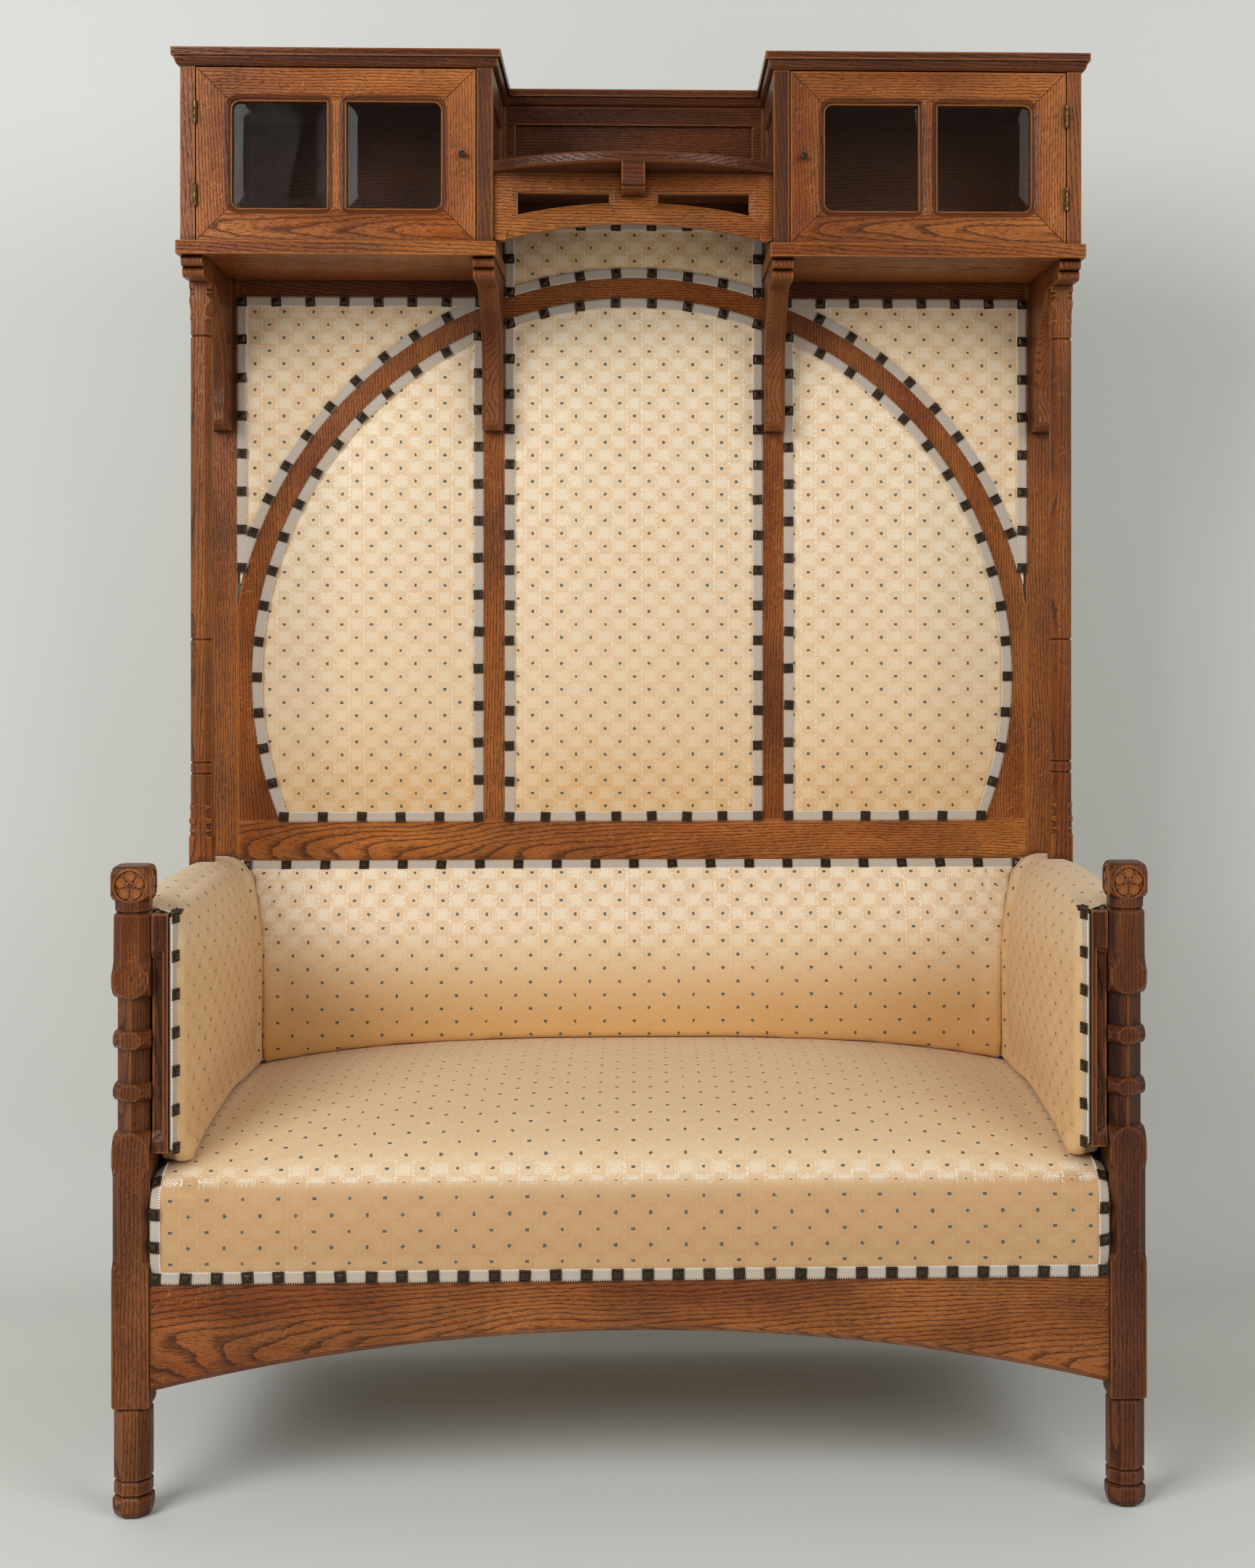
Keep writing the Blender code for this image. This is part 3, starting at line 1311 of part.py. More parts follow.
def arm_pad_reliefs(side):
    """What the pad leaves free: arm frame, stump, post and column foot."""
    core = (POST_INNER - GAP, POST_INNER + ARM_CORE_THICKNESS + GAP)
    wide = (POST_INNER - GAP, POST_INNER + ARM_RAIL_WIDTH + GAP)
    past = HALF_WIDTH + OVERRUN
    y_span = (FRONT - OVERRUN, BACK_PLANE + OVERRUN)
    low = RAIL_BOTTOM - OVERRUN
    rail_low = ARM_FRAME_HEIGHT - ARM_RAIL_HEIGHT - GAP
    column_x = (COLUMN_X - COLUMN_SIZE / 2 - GAP, past)
    column_y = (COLUMN_Y - COLUMN_SIZE / 2 - GAP, COLUMN_Y + COLUMN_SIZE / 2 + GAP)
    stump_x = (POST_INNER - STUMP_WIDTH - GAP, past)
    stump_y = (FRONT - OVERRUN, FRONT + STUMP_SETBACK + STUMP_DEPTH + GAP)
    return (
        side_box(side, core, y_span, (low, ARM_FRAME_HEIGHT + GAP)),
        side_box(side, wide, y_span, (rail_low, ARM_FRAME_HEIGHT + GAP)),
        side_box(side, stump_x, stump_y, (low, STUMP_TOP + GAP)),
        side_box(side, (POST_INNER - GAP, past), (FRONT - OVERRUN, POST_REAR + GAP), (low, POST_HEIGHT)),
        side_box(side, column_x, column_y, (rail_low, POST_HEIGHT)),
    )


def center_outline(inset):
    half = CENTER_HALF - GAP - inset
    radius = CIRCLE_RADIUS - GAP - inset
    start = circle_angle(radius, half)
    foot = MID_RAIL_TOP + GAP + inset
    curve = arc((0, CIRCLE_Z), radius, start, 180 - start, CENTER_STEPS)
    return [(half, foot), *curve, (-half, foot)]


def upper_outline(inset):
    half = CENTER_HALF - GAP - inset
    radius = CIRCLE_OUTER + GAP + inset
    start = circle_angle(radius, half)
    top = GALLERY_RAIL_BOTTOM - GAP - inset
    curve = arc((0, CIRCLE_Z), radius, start, 180 - start, CENTER_STEPS)
    return [*curve, (-half, top), (half, top)]


def wing_outline(side, inset):
    """The D-shaped panel inside the circle, beside a muntin."""
    inner = MUNTIN_OUTER + GAP + inset
    radius = CIRCLE_RADIUS - GAP - inset
    foot = MID_RAIL_TOP + GAP + inset
    low = math.degrees(math.asin((foot - CIRCLE_Z) / radius))
    curve = arc((0, CIRCLE_Z), radius, low, circle_angle(radius, inner), WING_STEPS)
    return [(side * x, z) for x, z in [*curve, (inner, foot)]]


def corner_outline(side, inset):
    """The triangular panel outside the circle, under the cabinet."""
    outer = STILE_INNER - GAP - inset
    radius = CIRCLE_OUTER + GAP + inset
    top = TOP_RAIL_BOTTOM - GAP - inset
    high = math.degrees(math.asin(min((top - CIRCLE_Z) / radius, 1)))
    high = min(high, circle_angle(radius, MUNTIN_OUTER + GAP + inset))
    curve = arc((0, CIRCLE_Z), radius, circle_angle(radius, outer), high, CORNER_STEPS)
    tip = max(MUNTIN_OUTER + GAP + inset, curve[-1][0])
    return [(side * x, z) for x, z in [*curve, (tip, top), (outer, top)]]


def padded_panel(name, outline, spread, crown, fabric):
    """A flat upholstered panel: a gimp band round its edge, and a low crown inside it."""
    edge = BACK_PLANE + PANEL_EDGE_SETBACK
    inner = GIMP_WIDTH + GIMP_THICKNESS
    steps = [
        (BACK_BOARD_REAR, 0),
        (edge, 0),
        (edge - GIMP_THICKNESS, GIMP_THICKNESS),
        (edge - GIMP_THICKNESS, GIMP_WIDTH),
        (edge, inner),
    ]
    steps += [(edge - crown * rise, inner + spread * share) for share, rise in PANEL_CROWN_SHARES]
    place_soft(name, [rows_xz(outline(inset), y) for y, inset in steps], fabric)


def padded_panels(fabric):
    wide = CENTER_HALF / 2
    narrow = GIMP_WIDTH * 2
    padded_panel("back_panel_center", center_outline, wide, PANEL_CROWN, fabric)
    padded_panel("back_panel_upper", upper_outline, GIMP_WIDTH, PANEL_CROWN / 2, fabric)
    for side, word in SIDES:
        wing = functools.partial(wing_outline, side)
        corner = functools.partial(corner_outline, side)
        padded_panel("back_panel_" + word, wing, wide, PANEL_CROWN, fabric)
        padded_panel("corner_panel_" + word, corner, narrow, PANEL_CROWN / 2, fabric)


def main():
    clear_scene()
    oak = finish("stained_oak", "8A5A33", 0.48)
    fabric = finish("woven_damask", "E0BE93", 0.70)
    webbing = finish("jute_webbing", "A98C60", 0.90)
    glass = finish("bevelled_glass", "DCE4E2", 0.05, alpha=0.25)
    brass = finish("aged_brass", "8C6E3C", 0.40, metallic=1.0)
    bronze = finish("dark_bronze", "2E261F", 0.45, metallic=1.0)
    front_posts(oak)
    front_seat_rail(oak)
    arm_side_frames(oak)
    rear_rail_and_deck(oak, webbing)
    back_frame(oak)
    arch_rails(oak)
    columns(oak)
    brackets(oak)
    cabinet_boards(oak)
    cornices(oak)
    gallery_back(oak)
    gallery_shelf(oak)
    gallery_apron(oak)
    doors(oak, glass, bronze, brass)
    seat_cushion(fabric)
    lower_back_cushion(fabric)
    arm_pads(fabric)
    padded_panels(fabric)


main()
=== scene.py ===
"""Looks of the oak hall settle: stained oak, damask pads with braid and studs, glazed doors.

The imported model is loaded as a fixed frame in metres. Wooden pieces of the model keep their place
and get an oak material, the front posts get their carved rosettes, padded pieces are made anew
over the solids that they stand for, and braid and studs are laid on them. Run as a script, it
builds everything in order.
"""

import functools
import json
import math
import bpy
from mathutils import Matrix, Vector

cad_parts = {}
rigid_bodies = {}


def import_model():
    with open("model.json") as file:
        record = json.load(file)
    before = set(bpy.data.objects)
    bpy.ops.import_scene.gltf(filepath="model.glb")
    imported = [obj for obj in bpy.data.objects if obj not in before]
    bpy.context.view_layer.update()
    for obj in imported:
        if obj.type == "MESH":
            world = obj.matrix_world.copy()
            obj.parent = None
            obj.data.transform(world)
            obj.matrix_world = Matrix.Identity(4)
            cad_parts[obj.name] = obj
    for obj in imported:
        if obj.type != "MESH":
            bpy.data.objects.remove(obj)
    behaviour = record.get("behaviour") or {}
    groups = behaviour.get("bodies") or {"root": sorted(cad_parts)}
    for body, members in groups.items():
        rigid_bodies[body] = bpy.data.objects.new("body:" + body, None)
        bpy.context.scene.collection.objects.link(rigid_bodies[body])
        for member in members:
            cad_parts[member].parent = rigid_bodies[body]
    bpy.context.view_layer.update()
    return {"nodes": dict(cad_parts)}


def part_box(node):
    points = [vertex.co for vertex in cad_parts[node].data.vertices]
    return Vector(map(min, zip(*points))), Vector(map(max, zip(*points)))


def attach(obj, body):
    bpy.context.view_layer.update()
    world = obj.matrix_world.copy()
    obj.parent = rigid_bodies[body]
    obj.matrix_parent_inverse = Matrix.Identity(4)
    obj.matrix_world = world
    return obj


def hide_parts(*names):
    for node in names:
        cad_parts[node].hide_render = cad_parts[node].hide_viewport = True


bl_info = {
    "name": "Oak Hall Settle",
    "version": (1, 1, 0),
    "blender": (4, 5, 0),
    "location": "View3D > Sidebar > Settle",
    "description": "Builds the looks of an oak hall settle around its packed frame",
    "category": "Object",
}

import bmesh
import bpy
from mathutils import Matrix, Vector
from mathutils.bvhtree import BVHTree

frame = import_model()

SETTLE = "settle_frame"
SIDES = ((-1, "left"), (1, "right"))

# The photograph's frame in pixels, and the camera's film width
PHOTO_WIDTH = 1725
PHOTO_HEIGHT = 2156
SENSOR_MM = 36

# The sweep of floor and wall: half its width, its front edge, the wall, its top and the round
SWEEP_HALF_WIDTH = 6.0
SWEEP_FRONT = -5.0
WALL_Y = 0.87
WALL_TOP = 5.0
SWEEP_RADIUS = 0.25
# Lamps by name, place in metres, size in metres and power in watts
LAMPS = (
    ("key_lamp", (-2.5, -3.2, 2.9), 2.4, 124),
    ("fill_lamp", (2.7, -3.1, 2.7), 2.4, 66),
)
# The middle of the settle, at which the lamps point
LIT_POINT = Vector((0, 0, 1.0))
WORLD_STRENGTH = 0.26

# Kinds of node that the materials use most
MATH = "ShaderNodeMath"
VECTOR = "ShaderNodeVectorMath"
MIX = "ShaderNodeMix"
RANGE = "ShaderNodeMapRange"
NOISE = "ShaderNodeTexNoise"
PLACE = "ShaderNodeTexCoord"
ATTRIBUTE = "GeometryNodeInputNamedAttribute"
MAPPING = "ShaderNodeMapping"

# Wooden pieces by the direction of their fibres, how deep their stain is, where the tree's heart
# lay from the board's middle, across and behind it, and how much it leaned: a near heart that
# leans gives arches, a far one lines
BOARDS = (
    ("x", 0.06, (0.030, 0.055), 0.09, ("mid_rail",)),
    ("x", 0.30, (0.020, 0.085), 0.07, ("front_seat_rail",)),
    ("x", 0.15, (0.110, 0.020), 0.05, ("arch_rail_center", "rear_seat_rail")),
    ("x", 0.15, (0.120, 0.010), 0.05, ("gallery_apron",)),
    # The deep stain of the gallery's shelf and back is partly painted shade of its recess
    ("x", 0.90, (0.120, 0.010), 0.05, ("gallery_shelf", "gallery_back")),
    ("x", 0.85, (0.100, 0.030), 0.05, ("cornice_left", "cornice_right")),
    ("x", 0.30, (0.090, 0.015), 0.04, ("cabinet_floor_left", "cabinet_floor_right")),
    ("x", 0.70, (0.030, 0.050), 0.12, ("cabinet_back_left", "cabinet_back_right")),
    ("z", 0.25, (0.090, 0.015), 0.05, ("arch_rail_left", "arch_rail_right")),
    ("z", 0.45, (0.080, 0.025), 0.05, ("back_stile_left", "back_stile_right")),
    ("z", 0.30, (0.070, 0.020), 0.06, ("back_muntin_left", "back_muntin_right")),
    ("z", 0.92, (0.090, 0.030), 0.04, ("arm_side_frame_left", "arm_side_frame_right")),
    ("z", 0.45, (0.040, 0.040), 0.05, ("column_left", "column_right")),
    ("z", 0.60, (0.080, 0.020), 0.05, ("bracket_outer_left", "bracket_outer_right")),
    ("z", 0.60, (0.080, 0.030), 0.05, ("bracket_inner_left", "bracket_inner_right")),
    ("z", 0.50, (0.090, 0.020), 0.05, ("cabinet_outer_side_left", "cabinet_outer_side_right")),
    ("z", 0.80, (0.090, 0.020), 0.05, ("cabinet_inner_side_left", "cabinet_inner_side_right")),
)
# The axes that run along, across and through a board, by the direction of its fibres
GRAIN_TURNS = {"x": (0, 2, 1), "z": (2, 0, 1)}
# How far the grain of one board is from that of the next in the noise
SEED_STEP = 1.7
# Stain of the front posts, and how much deeper it is at the right, and paler at the left: painted shade
# on the right post and painted light on the left one
POST_STAIN = 0.80
POST_SIDE_SHADE = 0.14


def linear_channel(channel):
    if channel <= 0.04045:
        return channel / 12.92
    return ((channel + 0.055) / 1.055) ** 2.4


def colour(hex_colour):
    """An sRGB hex colour as linear red, green, blue and alpha."""
    parts = [int(hex_colour[i : i + 2], 16) / 255 for i in (0, 2, 4)]
    return (*[linear_channel(part) for part in parts], 1.0)


def between(first, second, share):
    """A value, place or colour between two others."""
    return tuple(a + (b - a) * share for a, b in zip(first, second))


def ramp(value, low, high):
    """How far a value has come from low to high, from 0 to 1, smoothly."""
    share = min(max((value - low) / (high - low), 0), 1)
    return share * share * (3 - 2 * share)


def colour_property(name, description, hex_colour):
    return bpy.props.FloatVectorProperty(
        name=name,
        description=description,
        subtype="COLOR",
        size=4,
        min=0,
        max=1,
        default=colour(hex_colour),
    )


def length_property(name, description, length):
    return bpy.props.FloatProperty(
        name=name,
        description=description,
        default=length,
        min=0,
        unit="LENGTH",
        precision=4,
    )


class SettleOakSettings(bpy.types.PropertyGroup):
    amber: colour_property("Amber oak", "Lightly stained wood between its pores", "9A4E17")
    # The rubbed colours also paint the highlight on the wood's edges
    amber_light: colour_property("Rubbed amber", "Where the light stain is rubbed thin", "BA7032")
    deep: colour_property("Deep oak", "Wood where the stain is deepest", "3A190B")
    deep_light: colour_property("Rubbed deep", "Where the deep stain is rubbed thin", "6A371D")
    # The pore colour also paints shade and patina in grooves and nooks
    pore: colour_property("Pores", "Pores, grooves and old polish", "1F0D06")
    fleck: colour_property("Ray fleck", "Pale ray flecks", "CF9A66")
    ring_pitch: length_property("Ring pitch", "Distance between growth rings", 0.0046)
    pore_width: length_property("Pore width", "Width at which pores are drawn", 0.0009)
    pore_length: length_property("Pore length", "Length of a pore along the grain", 0.010)
    rosette_width: length_property("Rosette width", "Width of the sunk circles of the posts", 0.042)
    rosette_depth: length_property("Rosette depth", "Depth of the sunk circles", 0.0040)


class SettleFabricSettings(bpy.types.PropertyGroup):
    ground: colour_property("Ground", "Satin ground of the damask", "E8CCA5")
    # Wear on the seat's front, which is also laid as painted shade low on the back panels
    wear_and_shade: colour_property("Worn ground", "Ground on the front of the seat", "BC8D5B")
    # Painted golden shade: the ground where shade falls low on the pads, also used for blotches of
    # soiling
    golden_shade: colour_property("Unfaded ground", "Ground where light has not faded it", "D8A45A")
    # Golden and cream blocks are a shaded and a lit copy of the same silk: cream is their painted sheen
    gold_block: colour_property("Golden blocks", "Woven blocks where they are golden", "EFCE8E")
    block: colour_property("Cream blocks", "Woven blocks where they are cream", "FFF6E2")
    dot: colour_property("Dots", "Small grey-green dots", "3A5253")
    pitch_across: length_property("Pitch across", "Repeat of the dots across the cloth", 0.0488)
    pitch_along: length_property("Pitch along", "Repeat of the dots along the cloth", 0.0436)
    dot_radius: length_property("Dot radius", "Radius of a dot", 0.0024)
    halo_radius: length_property("Halo radius", "Radius of the pale ring around a dot", 0.0047)
    block_width: length_property("Block width", "Width of a woven block", 0.0176)
    block_height: length_property("Block height", "Height of a woven block", 0.0190)
    thread: length_property("Thread", "Step at which the weave is drawn", 0.0019)


class SettleTrimSettings(bpy.types.PropertyGroup):
    braid: colour_property("Braid", "Silver-beige braid", "D0BEA7")
    braid_cool: colour_property("Braid sheen", "Cool sheen of the braid", "CBC0B7")
    # Painted shade between the braid's ribs
    braid_shade: colour_property("Braid ribs", "Between the braid's ribs", "9C8B74")
    bronze: colour_property("Studs", "Oxidised bronze of studs and knobs", "42362B")
    brass: colour_property("Hinges", "Aged brass of the hinges", "7B6136")
    braid_width: length_property("Braid width", "Width of the braid between its picots", 0.0136)
    braid_rise: length_property("Braid thickness", "Thickness of the braid", 0.0012)
    picot_pitch: length_property("Picot pitch", "Distance between the braid's small loops", 0.0034)
    picot_length: length_property("Picot length", "How far the loops stand out", 0.0023)
    rib_pitch: length_property("Rib pitch", "Distance between the braid's ribs", 0.0021)
    stud_size: length_property("Stud size", "Side of a square stud", 0.0162)
    stud_rise: length_property("Stud height", "Height of a stud", 0.0066)


class SettleCameraSettings(bpy.types.PropertyGroup):
    place: bpy.props.FloatVectorProperty(
        name="Place",
        description="Camera position in front of the settle",
        subtype="TRANSLATION",
        unit="LENGTH",
        default=(0.0104, -3.437, 1.2583),
    )
    turn: bpy.props.FloatProperty(
        name="Turn",
        description="Turn of the camera about the vertical",
        subtype="ANGLE",
        default=math.radians(-1.70),
    )
    focal_pixels: bpy.props.FloatProperty(
        name="Focal length",
        description="Focal length in pixels of the photograph",
        default=3072,
    )
    sight_pixels: bpy.props.FloatVectorProperty(
        name="Sight point",
        description="Where the line of sight meets the photograph, in its pixels",
        size=2,
        default=(971.0, 828.5),
    )


def fill(node, inputs):
    """Links or sets a node's inputs, given in order or by name."""
    pairs = inputs.items() if isinstance(inputs, dict) else enumerate(inputs)
    for key, value in pairs:
        if isinstance(value, bpy.types.NodeSocket):
            node.id_data.links.new(value, node.inputs[key])
        else:
            node.inputs[key].default_value = value


def add_node(tree, kind, inputs=(), out=0, **settings):
    """Adds a node with its settings and inputs, and gives back one of its outputs."""
    node = tree.nodes.new(kind)
    for name, value in settings.items():
        setattr(node, name, value)
    fill(node, inputs)
    return node.outputs[out]


def layered(node, tone, layers):
    """A colour with others laid over it in order, each by its share."""
    for share, over in layers:
        tone = node(MIX, {0: share, 6: tone, 7: over}, out=2, data_type="RGBA")
    return tone


def new_material(name):
    """A material, the function that adds its nodes, and its surface."""
    material = bpy.data.materials.new(name)
    material.use_nodes = True
    surface = material.node_tree.nodes["Principled BSDF"]
    return material, functools.partial(add_node, material.node_tree), surface


def oak_grain(node, grain, seed, stain, heart, settings):
    """Colour, open pores, relief, and the colour of rubbed edges with their painted highlight, of oak
    whose fibres run along X of a vector.
    """
    body = between(settings.amber, settings.deep, stain)
    light = between(settings.amber_light, settings.deep_light, stain)
    across, behind, lean = heart
    # Growth rings about a heart that leans and sways, so that boards show long arches
    slow = node(VECTOR, (grain, (3.0, 11.0, 11.0)), operation="MULTIPLY")
    waves = {"Vector": slow, "W": seed, "Scale": 1.0, "Detail": 4.0}
    sway = node(NOISE, waves, out=1, noise_dimensions="4D")
    swayed = node(VECTOR, (sway, (0.0, 0.030, 0.030), grain), operation="MULTIPLY_ADD")
    tilt = (0, lean, lean / 3)
    tree = {"Vector": swayed, "Location": (0, across, behind), "Rotation": tilt}
    ring = node(
        "ShaderNodeTexWave",
        {"Vector": node(MAPPING, tree), "Scale": 0.314 / settings.ring_pitch},
        out=1,
        wave_type="RINGS",
        rings_direction="X",
        wave_profile="SAW",
    )
    early = node(RANGE, (ring, 0.0, 0.42, 1.0, 0.0))
    # Open pores, drawn about four times as wide as real ones so that they show
    pore_scale = (1 / settings.pore_length, 1 / settings.pore_width, 1 / settings.pore_width)
    fibres = node(VECTOR, (grain, pore_scale), operation="MULTIPLY")
    specks = {"Vector": fibres, "W": seed, "Scale": 1.0, "Detail": 2.0}
    porous = node(NOISE, specks, noise_dimensions="4D")
    crowded = node(MATH, (early, 0.17, porous), operation="MULTIPLY_ADD")
    pores = node(RANGE, (crowded, 0.55, 0.68), interpolation_type="SMOOTHSTEP")
    # Ray flecks: short pale strokes, 14 by 2.4 mm, that lie askew to the fibres in patches
    askew = {"Vector": grain, "Rotation": (0, 0, math.radians(63)), "Scale": (0.014, 0.0024, 0.02)}
    strokes = node(NOISE, {"Vector": node(MAPPING, askew, vector_type="TEXTURE"), "Scale": 1.0})
    patch = node(RANGE, (node(NOISE, {"Vector": slow, "Scale": 1.7}), 0.46, 0.60))
    flecks = node(RANGE, (strokes, 0.58, 0.70, 0.0, 0.42), interpolation_type="SMOOTHSTEP")
    broad = node(VECTOR, (grain, (2.5, 17.0, 17.0)), operation="MULTIPLY")
    clouds = {"Vector": broad, "W": seed, "Scale": 1.0, "Detail": 5.0}
    cloud = node(RANGE, (node(NOISE, clouds, noise_dimensions="4D"), 0.38, 0.64))
    layers = (
        (cloud, light),
        (node(MATH, (early, 0.62), operation="MULTIPLY"), between(body, settings.pore, 0.6)),
        (node(MATH, (flecks, patch), operation="MULTIPLY"), between(settings.fleck, light, stain)),
        (node(MATH, (pores, 0.62), operation="MULTIPLY"), settings.pore),
    )
    tone = layered(node, body, layers)
    rings = node(MATH, (early, -0.3), operation="MULTIPLY")
    relief = node(MATH, (pores, -1.0, rings), operation="MULTIPLY_ADD")
    # The last colour goes on the edges: rubbed wear and a painted highlight
    return tone, pores, relief, between(light, settings.amber_light, 0.60)


def finish_oak(node, surface, wood, settings):
    """Old wax polish with a soft gloss: painted shade and patina darken grooves, nooks and joins
    between parts, and rubbed wear with a painted highlight lightens the edges.
    """
    tone, pores, relief, rubbed = wood
    place = node(PLACE, out=3)
    cloudy = node(NOISE, {"Vector": place, "Scale": 6.0, "Detail": 4.0})
    # Painted shade and patina: the pore colour laid where other surfaces are near, in grooves, nooks
    # and between parts
    groove = node("ShaderNodeAmbientOcclusion", {"Distance": 0.012}, out=1, samples=4)
    # Rubbed wear and a painted highlight along the convex edges
    near_edge = {"Distance": 0.0036}
    edge = node("ShaderNodeAmbientOcclusion", near_edge, out=1, samples=6, inside=True, only_local=True)
    layers = (
        (node(RANGE, (cloudy, 0.42, 0.70, 0.0, 0.42)), settings.pore),
        (node(RANGE, (edge, 0.52, 0.97, 0.85, 0.0)), rubbed),
        (node(RANGE, (groove, 0.35, 0.95, 0.80, 0.0)), settings.pore),
    )
    tone = layered(node, tone, layers)
    worn_edge = node("ShaderNodeBevel", {"Radius": 0.0013}, samples=4)
    normal = node("ShaderNodeBump", {"Height": relief, "Distance": 0.0004, "Normal": worn_edge})
    gloss = node(RANGE, (cloudy, 0.35, 0.70, 0.26, 0.38))
    fill(surface, {"Base Color": tone, "Normal": normal, "Specular IOR Level": 0.27, "IOR": 1.50})
    fill(surface, {"Roughness": node(MATH, (pores, 0.25, gloss), operation="MULTIPLY_ADD")})


def turned_grain(node, direction, centre):
    """Object coordinates from a board's middle, turned so that its fibres run along X."""
    place = node(VECTOR, (node(PLACE, out=3), centre), operation="SUBTRACT")
    parts = node("ShaderNodeSeparateXYZ", {0: place}).node.outputs
    return node("ShaderNodeCombineXYZ", [parts[axis] for axis in GRAIN_TURNS[direction]])


def stained_oak(node_name, direction, seed, stain, heart, settings):
    """Stained and waxed oak: warm brown, dark open pores, arched rings and pale ray flecks."""
    low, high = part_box(node_name)
    material, node, surface = new_material("oak_" + node_name)
    grain = turned_grain(node, direction, (low + high) / 2)
    finish_oak(node, surface, oak_grain(node, grain, seed, stain, heart, settings), settings)
    return material


def pane_distance(node, word):
    """The distance on the door's face from the nearer pane's rounded edge, negative inside it."""
    door_low, door_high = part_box("door_frame_" + word)
    low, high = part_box("door_glass_outer_" + word)
    seat = 0.005
    corner = 0.012
    middle = (door_low.x + door_high.x) / 2
    pane_x = abs((low.x + high.x) / 2 - middle)
    centre = Vector((pane_x, 0, (low.z + high.z) / 2))
    half = Vector(((high.x - low.x) / 2 - seat - corner, 0, (high.z - low.z) / 2 - seat - corner))
    place = node(VECTOR, (node(PLACE, out=3), (middle, 0, 0)), operation="SUBTRACT")
    flat = node("ShaderNodeSeparateXYZ", {0: node(VECTOR, (place, (1, 0, 1)), operation="MULTIPLY")})
    across = node(MATH, (flat.node.outputs[0],), operation="ABSOLUTE")
    mirrored = node("ShaderNodeCombineXYZ", (across, 0.0, flat.node.outputs[2]))
    aside = node(VECTOR, (mirrored, centre), operation="SUBTRACT")
    offset = node(VECTOR, (aside,), operation="ABSOLUTE")
    past = node(VECTOR, (offset, half), operation="SUBTRACT")
    beyond = node(VECTOR, (past, (0, 0, 0)), operation="MAXIMUM")
    length = node(VECTOR, (beyond,), out=1, operation="LENGTH")
    return node(MATH, (length, corner), operation="SUBTRACT")


def mitred_oak(side, word, settings):
    """The oak of a door: fibres that turn at the mitres, and a dark rounded bead at the panes."""
    low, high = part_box("door_frame_" + word)
    middle = (low + high) / 2
    half = (high - low) / 2
    material, node, surface = new_material("oak_door_frame_" + word)
    centred = node(VECTOR, (node(PLACE, out=3), middle), operation="SUBTRACT")
    folded = node(VECTOR, (centred,), operation="ABSOLUTE")
    inwards = node("ShaderNodeSeparateXYZ", {0: node(VECTOR, (half, folded), operation="SUBTRACT")})
    from_side, _, from_end = inwards.node.outputs
    difference = node(MATH, (from_end, from_side), operation="SUBTRACT")
    on_stile = node(MATH, (difference, 0.0), operation="GREATER_THAN")
    at_side = node(MATH, (from_side, 0.060), operation="LESS_THAN")
    at_middle = node(MATH, (from_side, half.x - 0.016), operation="GREATER_THAN")
    off_rails = node(MATH, (from_end, 0.050), operation="GREATER_THAN")
    stile = node(MATH, (on_stile, at_side), operation="MULTIPLY")
    mullion = node(MATH, (at_middle, off_rails), operation="MULTIPLY")
    upright = node(MATH, (stile, mullion), operation="MAXIMUM")
    lying = turned_grain(node, "x", middle)
    standing = turned_grain(node, "z", middle)
    grain = node(MIX, {0: upright, 4: lying, 5: standing}, out=1, data_type="VECTOR")
    tone, pores, relief, rubbed = oak_grain(node, grain, 3.0 + side, 0.12, (0.10, 0.02, 0.05), settings)
    near_corner = node(MATH, (from_side, 0.052), operation="LESS_THAN")
    seam = node(RANGE, (node(MATH, (difference,), operation="ABSOLUTE"), 0.0004, 0.0012, 0.85, 0.0))
    joint = node(MATH, (seam, near_corner), operation="MULTIPLY")
    bead = node(RANGE, (pane_distance(node, word), 0.0095, 0.0115, 0.62, 0.0))
    tone = layered(node, tone, ((joint, settings.pore), (bead, settings.deep)))
    relief = node(MATH, (relief, joint), operation="SUBTRACT")
    finish_oak(node, surface, (tone, pores, relief, rubbed), settings)
    return material


def lattice(node, weave, settings, shift):
    """Distances in metres from the nearest point of a lattice that the woven pattern repeats on."""
    pitch = (settings.pitch_across, settings.pitch_along, 1.0)
    cells = node(VECTOR, (weave, pitch), operation="DIVIDE")
    moved = node(VECTOR, (cells, (*shift, 0.0)), operation="ADD")
    share = node(VECTOR, (moved,), operation="FRACTION")
    centred = node(VECTOR, (share, (0.5, 0.5, 0.0)), operation="SUBTRACT")
    offset = node(VECTOR, (centred, pitch), operation="MULTIPLY")
    return node(VECTOR, (offset,), operation="ABSOLUTE")


